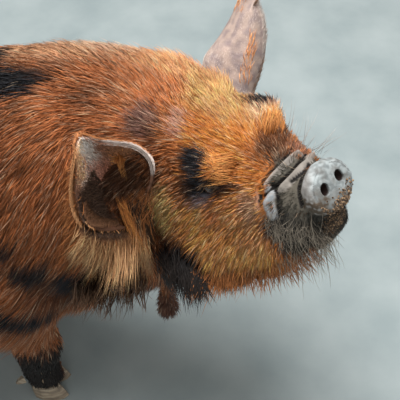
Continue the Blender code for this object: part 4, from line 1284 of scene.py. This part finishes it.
trunk_near = ~on_head & in_view & ~tri_leg
trunk_far = ~on_head & ~in_view & ~tri_leg
near_weight = trunk_near * np.where(tri_local[:, 0] > SHOULDER_ENDS, 1.0, 0.7)
coat(("under_neck",), 29000, near_weight, 0.0014, 2, body_unwrap, long=0.8, per_clump=7, pull=0.3)
coat(("coat_shoulder", "coat_neck"), 19500, near_weight, 0.00105, 3, body_unwrap, per_clump=7, pull=0.32)
coat(("coat_wisps",), 3500, trunk_near, 0.0008, 3, body_unwrap, long=1.05, stand_up=1.25, pale=0.28,
     pull=0.15)
coat(("coat_rump", "coat_left_side"), 20000, trunk_far, 0.0034, 3, body_unwrap, per_clump=7, pull=0.40)
coat(("coat_legs",), 6000, tri_leg, 0.0018, 3, leg_unwrap, pull=0.25)

# %% [markdown]
# An ear's hair doesn't follow the comb. Inside, it fans out from the ear's passage and pokes past the rim,
# and the rim itself has a close pale fringe. On the back it lies flat towards the tip.

# %% Hair of the ears
def ear_hair(name, spec, count, inside, u_range, v_range, length, stand, width, colours, outward, steps=3):
    """Tufts on one side of an ear between these places of its sheet. No colours means its markings."""
    u = rng.uniform(*u_range, count)
    v = rng.uniform(*v_range, count)
    step = 0.02
    here = np.array([ear_place(spec, a, b) for a, b in zip(u, v)])
    over_u = np.array([ear_place(spec, min(a + step, 1), b) - ear_place(spec, max(a - step, -1), b)
                       for a, b in zip(u, v)])
    over_v = np.array([ear_place(spec, a, min(b + step, 0.99)) - ear_place(spec, a, b - step)
                       for a, b in zip(u, v)])
    normals = unit(np.cross(over_u, over_v))
    face = np.array(ear_frame(spec)[2])
    normals *= np.sign(normals @ face + 1e-9)[:, None] * (1 if inside else -1)
    way = unit(over_v) + unit(over_u) * (outward * u)[:, None]
    way = along_skin(way + rng.normal(0, 0.22, (count, 3)), normals)
    long = (length * rng.uniform(0.6, 1.3, count))[:, None]
    roots = here + normals * EAR_THICK * 0.30
    share = np.linspace(0, 1, steps)[None, :, None]
    rise = (normals * long * stand)[:, None] * share * (1.6 - share)
    lines = roots[:, None] + (way * long)[:, None] * share + rise
    if colours is None:
        tint = ear_markings(roots + rng.normal(0, EDGE_BLUR, (count, 3)))
        colours = (tint * 0.7, tint * 1.7 + 0.012)
    root, tip = (np.array(c) * np.ones((count, 1)) for c in colours)
    light = rng.normal(1.0, 0.22, (count, 1)).clip(0.5, 1.6)
    make_tufts(name, lines, normals, width * rng.uniform(0.7, 1.3, count), root * light,
               np.clip(tip * light, 0, 1), np.column_stack((u + 3.0 * inside, v)))


DARK_EAR = (srgb(84, 60, 48), srgb(178, 140, 112))
BLACK_EAR = (srgb(36, 28, 26), srgb(96, 72, 56))
PALE_RIM = (srgb(150, 136, 128), srgb(212, 198, 188))
TIPPED_EAR = (srgb(30, 24, 22), srgb(132, 92, 64))
TAN_RIM = (srgb(140, 92, 56), srgb(228, 172, 122))
GREY_EAR = (srgb(140, 126, 120), srgb(220, 210, 204))
BACK_EAR = (srgb(164, 142, 132), srgb(224, 204, 190))
RUSTY_EAR = (srgb(96, 60, 38), srgb(206, 136, 84))
STREAK_EAR = (srgb(190, 120, 76), srgb(240, 172, 116))

# For each piece how many tufts, whether inside, where across and along, length, stand, width, colours, how
# much it fans out, and the points along a tuft.
RIGHT_TUFTS = {
    "ear_lining": (4200, True, (-0.9, 0.97), (0.12, 0.97), 0.009, 0.24, 0.0009, None, 0.9),
    "ear_lining_short": (4200, True, (-0.9, 0.97), (0.30, 0.98), 0.006, 0.30, 0.0008, None, 0.6, 2),
    "ear_lining_black": (1800, True, (0.30, 1.0), (0.05, 0.55), 0.017, 0.22, 0.0009, BLACK_EAR, 1.5),
    "ear_rim_front": (3400, True, (-1.0, -0.62), (0.46, 0.99), 0.0070, 0.45, 0.0009, PALE_RIM, 0.2, 2),
    "ear_rim_outer": (2400, False, (-1.0, -0.80), (0.46, 0.99), 0.0055, 0.30, 0.0009, PALE_RIM, 0.2, 2),
    "ear_rim_rear": (2000, False, (0.80, 1.0), (0.40, 0.98), 0.014, 0.26, 0.0009, TAN_RIM, 1.6, 3),
    "ear_fringe_low": (2400, True, (0.62, 1.0), (0.0, 0.50), 0.016, 0.55, 0.0007, TIPPED_EAR, 2.2, 3),
    "ear_back_right": (3600, False, (-0.9, 0.8), (0.05, 0.97), 0.013, 0.16, 0.0016, RUSTY_EAR, 0.3, 2),
}
LEFT_TUFTS = {
    "ear_lining_left": (2600, True, (-0.95, 0.95), (0.12, 0.95), 0.012, 0.22, 0.0014, DARK_EAR, 0.8, 2),
    "ear_back_left": (5200, False, (-1.0, 1.0), (0.10, 0.97), 0.007, 0.14, 0.0008, BACK_EAR, 0.4, 2),
    "ear_mottle_left": (1400, False, (-0.7, 0.6), (0.10, 0.45), 0.006, 0.14, 0.0009, GREY_EAR, 0.4, 2),
    "ear_streak_left": (110, False, (-0.66, -0.40), (0.20, 0.62), 0.014, 0.12, 0.0008, STREAK_EAR, 0.1),
    "ear_streak_high": (60, False, (0.1, 0.8), (0.78, 0.93), 0.014, 0.12, 0.0008, STREAK_EAR, 0.1),
    "ear_rim_left": (2000, False, (-1.0, -0.86), (0.15, 0.98), 0.007, 0.25, 0.0009, PALE_RIM, 0.8, 2),
    "ear_rim_left_rear": (1600, False, (0.88, 1.0), (0.15, 0.98), 0.007, 0.25, 0.0009, TAN_RIM, 0.8, 2),
}
for spec, pieces in ((EARS["ear_right"], RIGHT_TUFTS), (EARS["ear_left"], LEFT_TUFTS)):
    for name, tufts in pieces.items():
        ear_hair(name, spec, *tufts)

# %% [markdown]
# Some hair is longer than its neighbours and has a place of its own: the fans behind and below the ear, the
# tuft in it, black locks as painted shade between jowl and neck, the dark hair of the breast, the fringe of
# the jaw, the whiskers, the lashes and the brow. Each is drawn as a line of roots and a line of tips over the
# photo.

# %% Locks with a place of their own
LOCK_STEPS = 4
LOCK_DEPTH = 0.0012
CLEAR_OF_SKIN = 0.012


def drawn_hair(name, roots_line, tips_line, count, width, colours, scatter, bow, lift, ragged_ends,
               fall=0.008, twin=False):
    """Tufts from one line over the photo to another. bow lifts their middle off the skin, lift their tips."""
    t = rng.random(count)
    curve = [np.array(smooth_rows(rows, 8)) for rows in (roots_line, tips_line)]
    place = [np.column_stack([np.interp(t, np.linspace(0, 1, len(rows)), rows[:, k]) for k in (0, 1)])
             for rows in curve]
    start = place[0] + rng.normal(0, scatter, (count, 2))
    reach = rng.normal(1.0, ragged_ends, (count, 1)).clip(0.35, 1.6)
    end = place[0] + (place[1] - place[0]) * reach + rng.normal(0, scatter * 0.8, (count, 2))
    roots = np.empty((count, 3))
    ends = np.empty((count, 3))
    normals = np.empty((count, 3))
    for i in range(count):
        root, normal = seen(*start[i], skin_tree)
        depth = (root - camera.location).dot(LOOK)
        tip = on_ray(*end[i], depth)
        if fall:
            way = ray(*end[i])
            tip = camera.location + way * ((root.y - fall - camera.location.y) / way.y)
        on, out = seen(*end[i], skin_tree)
        if (on - camera.location).dot(LOOK) < max(depth, (tip - camera.location).dot(LOOK)) + CLEAR_OF_SKIN:
            tip = on + out * lift
        roots[i], ends[i], normals[i] = root, tip, normal
    long = np.linalg.norm(ends - roots, axis=1, keepdims=True)
    middle = (roots + ends) / 2 + normals * (bow + 0.12 * long)
    lines = bowed(roots - normals * LOCK_DEPTH, middle, ends, LOCK_STEPS)
    light = rng.normal(1.0, 0.22, (count, 1)).clip(0.5, 1.6)
    root_colour, tip_colour = (np.clip(np.array(c) * light, 0, 1) for c in colours)
    width = width * rng.uniform(0.7, 1.3, count)
    if twin:
        across = HEAD_TURNED[:, 1]
        flipped = lines - 2 * ((lines - HEAD_PLACE) @ across)[..., None] * across
        out = normals - 2 * (normals @ across)[:, None] * across
        lines, normals = np.concatenate((lines, flipped)), np.concatenate((normals, out))
        root_colour, tip_colour = np.tile(root_colour, (2, 1)), np.tile(tip_colour, (2, 1))
        width = np.tile(width, 2)
    unwrap = head_unwrap if head_axes(lines[:1, 0])[0, 0] > HEAD_STARTS else body_unwrap
    make_tufts(name, lines, normals, width, root_colour, tip_colour, unwrap(lines[:, 0]))


FAN = (srgb(168, 108, 62), srgb(250, 200, 148))
ORANGE_LOCK = (srgb(160, 88, 38), srgb(246, 172, 100))
RUST_LOCK = (srgb(86, 54, 34), srgb(206, 132, 76))
DARK_LOCK = (srgb(40, 32, 28), srgb(104, 78, 58))
SHADE_BLACK_LOCK = (srgb(22, 20, 20), srgb(50, 42, 38))
WHISKER = (srgb(50, 46, 42), srgb(196, 182, 162))
LASH = (srgb(50, 36, 28), srgb(150, 116, 84))
TOP_WHISKER = (srgb(90, 70, 60), srgb(200, 190, 180))

# For each piece its line of roots and its line of tips over the photo, how many hairs, their width and
# colours, how far they scatter there, bow, lift, how uneven their ends are, how far they fall outwards, and
# whether the far side has them.
LOCKS = {
    "fan_under_ear": (((84, 224), (98, 233), (114, 233), (128, 226), (138, 214)),
                      ((70, 246), (84, 262), (104, 272), (126, 268), (146, 250)),
                      1500, 0.0009, FAN, 5.0, 0.005, 0.012, 0.4, 0.016),
    "fan_under_rust": (((84, 222), (97, 230), (112, 228), (130, 218), (146, 200)),
                       ((60, 246), (78, 260), (104, 266), (130, 258), (150, 232)),
                       380, 0.0009, RUST_LOCK, 8.0, 0.004, 0.010, 0.4, 0.014),
    "fan_behind_ear": (((77, 160), (76, 190), (80, 214), (88, 226)),
                       ((64, 176), (62, 210), (66, 234), (72, 246)),
                       420, 0.0009, RUST_LOCK, 5.0, 0.003, 0.006, 0.4),
    "lock_at_notch": (((116, 190), (122, 195)),
                      ((136, 240), (143, 236)),
                      60, 0.0006, ORANGE_LOCK, 2.4, 0.010, 0.008, 0.35, 0.012),
    "dark_by_notch": (((126, 200), (142, 204)),
                      ((138, 236), (152, 232)),
                      420, 0.0009, DARK_LOCK, 6.0, 0.004, 0.004, 0.35),
    "rust_by_notch": (((124, 190), (146, 188)),
                      ((134, 212), (152, 206)),
                      150, 0.0008, RUST_LOCK, 6.0, 0.003, 0.003, 0.35),
    "tuft_in_ear": (((118, 155), (124, 160)),
                    ((121, 170), (126, 174)),
                    60, 0.0007, ORANGE_LOCK, 2.0, 0.002, 0.003, 0.45),
    # Painted shade: black locks that fill the shade between the jowl and the neck.
    "throat_dark": (((158, 248), (172, 252), (186, 264), (200, 274)),
                    ((164, 280), (180, 290), (194, 296), (206, 294)),
                    800, 0.0011, SHADE_BLACK_LOCK, 7.0, 0.003, 0.003, 0.2),
    "breast_dark": (((80, 276), (108, 278), (140, 276)),
                    ((72, 300), (104, 304), (140, 300)),
                    520, 0.0010, DARK_LOCK, 7.0, 0.003, 0.004, 0.4),
    "jaw_fringe": (((196, 276), (232, 274), (262, 268), (290, 260), (312, 249)),
                   ((190, 296), (230, 293), (264, 287), (297, 277), (324, 261)),
                   620, 0.0007, RUST_LOCK, 4.5, 0.002, 0.003, 0.3),
    "jaw_fringe_left": (((196, 270), (214, 270), (232, 268)),
                        ((190, 288), (212, 288), (230, 286)),
                        300, 0.0010, RUST_LOCK, 4.0, 0.002, 0.003, 0.3, 0.008, True),
    "muzzle_bristles": (((270, 218), (284, 226), (300, 224), (316, 230), (326, 234)),
                        ((270, 236), (290, 246), (312, 246), (326, 248), (334, 250)),
                        210, 0.0005, WHISKER, 7.0, 0.003, 0.003, 0.5),
    "whiskers_low": (((280, 246), (300, 244), (316, 240), (326, 238)),
                     ((282, 272), (304, 276), (322, 268), (336, 258)),
                     90, 0.0005, WHISKER, 6.0, 0.005, 0.006, 0.45),
    "muzzle_bristles_left": (((270, 218), (284, 226), (300, 224)),
                             ((270, 232), (288, 240), (304, 240)),
                             110, 0.0005, WHISKER, 7.0, 0.002, 0.002, 0.5, 0.008, True),
    "whiskers_top": (((284, 138), (300, 152), (314, 156)),
                     ((284, 110), (312, 126), (336, 142)),
                     30, 0.0004, TOP_WHISKER, 5.0, 0.003, 0.008, 0.4, 0.0),
    "lashes": (((204, 181), (212, 179), (222, 180)),
               ((196, 187), (205, 190), (215, 191)),
               34, 0.0005, LASH, 1.2, 0.003, 0.004, 0.25, 0.008, True),
    "brow_locks": (((238, 158), (234, 166), (232, 176)),
                   ((214, 162), (208, 170), (212, 179)),
                   380, 0.0008, ORANGE_LOCK, 3.5, 0.004, 0.004, 0.35, 0.008, True),
}
for name, lock in LOCKS.items():
    drawn_hair(name, *lock)
print("coat pieces", len(coat_pieces))

# %% [markdown]
# Pigs root in the ground, and this one has grit on the lower edge of its snout: small lumps pressed into
# the skin.

# %% Grit on the snout
GRIT_LUMPS = 1500
GRIT_ON_DISC = (344, 209)
GRIT_ON_LIP = (337, 228)
GRIT_REACH = 0.062
GRIT_SIZES = (0.0006, 0.0011)

grit = bmesh.new()
for i in range(GRIT_LUMPS):
    right, down = rng.normal(0, 1, 2)
    if i % 2:
        px, py = GRIT_ON_DISC[0] + 5.0 * right - 7.0 * down, GRIT_ON_DISC[1] + 15.0 * down
    else:
        px, py = GRIT_ON_LIP[0] + 6.0 * right, GRIT_ON_LIP[1] + 11.0 * down
    place, out = seen(px, py, skin_tree)
    if (place - HEAD @ DISC_MIDDLE).length < GRIT_REACH:
        size = GRIT_SIZES[0] + GRIT_SIZES[1] * rng.random() ** 2
        turn = Matrix.Rotation(rng.random() * math.tau, 4, Vector(rng.normal(0, 1, 3)).normalized())
        made = bmesh.ops.create_icosphere(grit, subdivisions=1, radius=size,
                                          matrix=Matrix.Translation(place + out * size * 0.3) @ turn)
        for vert in made["verts"]:
            vert.co += Vector(rng.normal(0, size * 0.22, 3))
grit = to_object("grit", grit)
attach(grit, "root")
print("grit", len(grit.data.polygons))

# %% [markdown]
# A material is a set of nodes. Wire wraps a socket, so that sums are written as in Python, and node() adds
# any other node: first its settings, then what goes into its sockets.

# %% Wires
class Wire:
    """A socket of a material that takes part in sums."""

    def __init__(self, tree, socket=None):
        self.tree = tree
        self.socket = socket

    def node(self, kind, settings=None, inputs=None, out=0):
        made = self.tree.nodes.new("ShaderNode" + kind)
        for name, value in (settings or {}).items():
            if name == "stops":
                for _ in value[2:]:
                    made.color_ramp.elements.new(0.5)
                for stop, (place, tint) in zip(made.color_ramp.elements, value):
                    stop.position = place
                    stop.color = (*tint, 1.0)
            else:
                setattr(made, name, value)
        for name, value in (inputs or {}).items():
            if isinstance(value, Wire):
                self.tree.links.new(made.inputs[name], value.socket)
            else:
                made.inputs[name].default_value = value
        return Wire(self.tree, made.outputs[out])

    def maths(self, operation, a, b):
        return self.node("Math", {"operation": operation}, {0: a, 1: b})

    def __add__(self, other):
        return self.maths("ADD", self, other)

    def __mul__(self, other):
        return self.maths("MULTIPLY", self, other)

    __radd__ = __add__
    __rmul__ = __mul__

    def noise(self, scale, detail=3.0, stretch=(1.0, 1.0, 1.0)):
        """Noise over the object, from 0 to 1."""
        place = self.node("TexCoord", out=3)
        place = self.node("Mapping", inputs={"Vector": place, "Scale": stretch})
        return self.node("TexNoise", inputs={"Vector": place, "Scale": scale, "Detail": detail})

    def attribute(self, name):
        return self.node("Attribute", {"attribute_name": name})

    def tint(self, amount):
        """This colour made lighter or darker by a number."""
        grey = self.node("CombineXYZ", inputs={0: amount, 1: amount, 2: amount})
        return self.node("VectorMath", {"operation": "MULTIPLY"}, {0: self, 1: grey})

    def ramp(self, *stops):
        return self.node("ValToRGB", {"stops": stops}, {0: self})


def finish_of(name, paint):
    """A material; paint is given its wires and returns the shader's inputs."""
    material = bpy.data.materials.new(name)
    material.use_nodes = True
    tree = material.node_tree
    tree.nodes.clear()
    shader = Wire(tree).node("BsdfPrincipled", inputs=paint(Wire(tree)))
    out = tree.nodes.new("ShaderNodeOutputMaterial")
    tree.links.new(out.inputs["Surface"], shader.socket)
    return material


# %% [markdown]
# Hair and skin take their colour from the markings. Hair is a little glossy and uneven along its length.
# Skin is mottled and pored, with wrinkles finer than its mesh can hold.

# %% Finishes of the pig
def paint_hair(wire):
    speckle = wire.noise(420.0, 2.0)
    return {
        "Base Color": wire.attribute("markings").tint(0.72 + 0.56 * speckle),
        "Roughness": 0.42 + 0.25 * wire.noise(160.0),
        "Specular IOR Level": 0.25,
        "Normal": wire.node("Bump",
                            inputs={"Strength": 0.25, "Distance": 0.0004, "Height": wire.noise(1400.0, 2.0)}),
    }


def paint_skin(wire):
    mottle = wire.noise(70.0, 5.0)
    pores = wire.noise(1100.0, 3.0) + 1.6 * wire.noise(330.0, 4.0)
    return {
        "Base Color": wire.attribute("markings").tint(0.62 + 0.76 * mottle),
        "Roughness": 0.58 + 0.30 * wire.noise(240.0),
        "Specular IOR Level": 0.25,
        "Normal": wire.node("Bump", inputs={"Strength": 0.55, "Distance": 0.0009, "Height": pores}),
    }


def paint_horn(wire):
    rings = wire.noise(26.0, 4.0, (1.0, 1.0, 9.0))
    worn = wire.noise(60.0, 6.0)
    colour = (0.65 * rings + 0.35 * worn).ramp((0.30, srgb(70, 60, 52)), (0.52, srgb(150, 134, 114)),
                                               (0.72, srgb(206, 192, 168)))
    return {
        "Base Color": colour,
        "Roughness": 0.45 + 0.30 * worn,
        "Normal": wire.node("Bump",
                            inputs={"Strength": 0.5, "Distance": 0.0008, "Height": rings + 0.4 * worn}),
    }


def paint_grit(wire):
    lumps = wire.noise(520.0, 4.0)
    return {
        "Base Color": lumps.ramp((0.35, srgb(46, 36, 28)), (0.50, srgb(100, 78, 58)),
                                 (0.70, srgb(186, 154, 118))),
        "Roughness": 0.65 + 0.25 * lumps,
        "Normal": wire.node("Bump", inputs={"Strength": 0.6, "Distance": 0.0004, "Height": lumps}),
    }


def paint_eye(wire):
    iris = wire.noise(900.0, 2.0)
    return {
        "Base Color": iris.ramp((0.35, srgb(26, 16, 12)), (0.70, srgb(66, 42, 28))),
        "Roughness": 0.10 + 0.10 * iris,
        "Coat Weight": 1.0,
        "Coat Roughness": 0.02,
    }


def paint_floor(wire):
    return {
        "Base Color": wire.noise(9.0, 6.0).ramp((0.3, srgb(140, 152, 153)), (0.7, srgb(160, 170, 170))),
        "Roughness": 0.85,
    }


HAIR = finish_of("hair", paint_hair)
SKIN = finish_of("skin", paint_skin)
HORN = finish_of("horn", paint_horn)
EYE = finish_of("eye", paint_eye)
FLOOR = finish_of("floor", paint_floor)

grit.data.materials.append(finish_of("grit", paint_grit))
for piece in coat_pieces:
    piece.data.materials.append(HAIR)
skin.data.materials.clear()
skin.data.materials.append(SKIN)
for name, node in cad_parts.items():
    for slot in node.material_slots:
        slot.material = HORN if "claw" in name else SKIN
print("finishes", len(bpy.data.materials))

# %% [markdown]
# The eyes are balls as deep as real ones, and only the slit between the lids shows them. They stay pieces
# of their own.

# %% Eyes
for side, name in ((1, "eye_left"), (-1, "eye_right")):
    bm = bmesh.new()
    place = HEAD @ Matrix.Translation(Vector((EYE_MIDDLE.x, EYE_MIDDLE.y * side, EYE_MIDDLE.z)))
    bmesh.ops.create_uvsphere(bm, u_segments=48, v_segments=28, radius=EYE_RADIUS, matrix=place)
    ball_piece = to_object(name + "_ball", bm)
    ball_piece.data.shade_smooth()
    ball_piece.data.materials.append(EYE)
    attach(ball_piece, "root")
    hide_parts(name)
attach(skin, "root")
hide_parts("torso", "neck", "head", "tail", "ear_left", "ear_right", "wattle_left", "wattle_right",
            "leg_fore_left", "leg_fore_right", "leg_hind_left", "leg_hind_right")

# %% [markdown]
# The light is that of a studio, with a wide soft lamp overhead and a weak one low at the pig's right. The
# floor is plain and pale.

# %% Floor and light
FLOOR_HALF = 6.0
SKY_COLOUR = (1.0, 0.98, 0.95, 1.0)
SKY_STRENGTH = 0.30
OVERHEAD_POWER = 132.0
FILL_POWER = 17.0

bm = bmesh.new()
bmesh.ops.create_grid(bm, x_segments=1, y_segments=1, size=FLOOR_HALF)
floor = to_object("floor", bm)
floor.data.materials.append(FLOOR)
floor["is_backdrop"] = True

world = bpy.data.worlds.new("studio")
world.use_nodes = True
sky = world.node_tree.nodes["Background"]
sky.inputs["Color"].default_value = SKY_COLOUR
sky.inputs["Strength"].default_value = SKY_STRENGTH
bpy.context.scene.world = world


def lamp(name, place, aim, size, power):
    light = bpy.data.lights.new(name, "AREA")
    light.size = size
    light.energy = power
    obj = bpy.data.objects.new(name, light)
    obj.location = place
    obj.rotation_euler = (Vector(aim) - Vector(place)).to_track_quat("-Z", "Y").to_euler()
    bpy.context.scene.collection.objects.link(obj)


lamp("overhead", (0.15, 0.25, 3.0), (0.1, 0.0, 0.3), 1.9, OVERHEAD_POWER)
lamp("fill", (0.9, -2.4, 1.5), (0.2, 0.0, 0.4), 2.0, FILL_POWER)
bpy.context.scene.view_settings.view_transform = "Standard"

# %% Sizes
low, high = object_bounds()
print("visual box", [round(v, 3) for v in (*low, *high)])
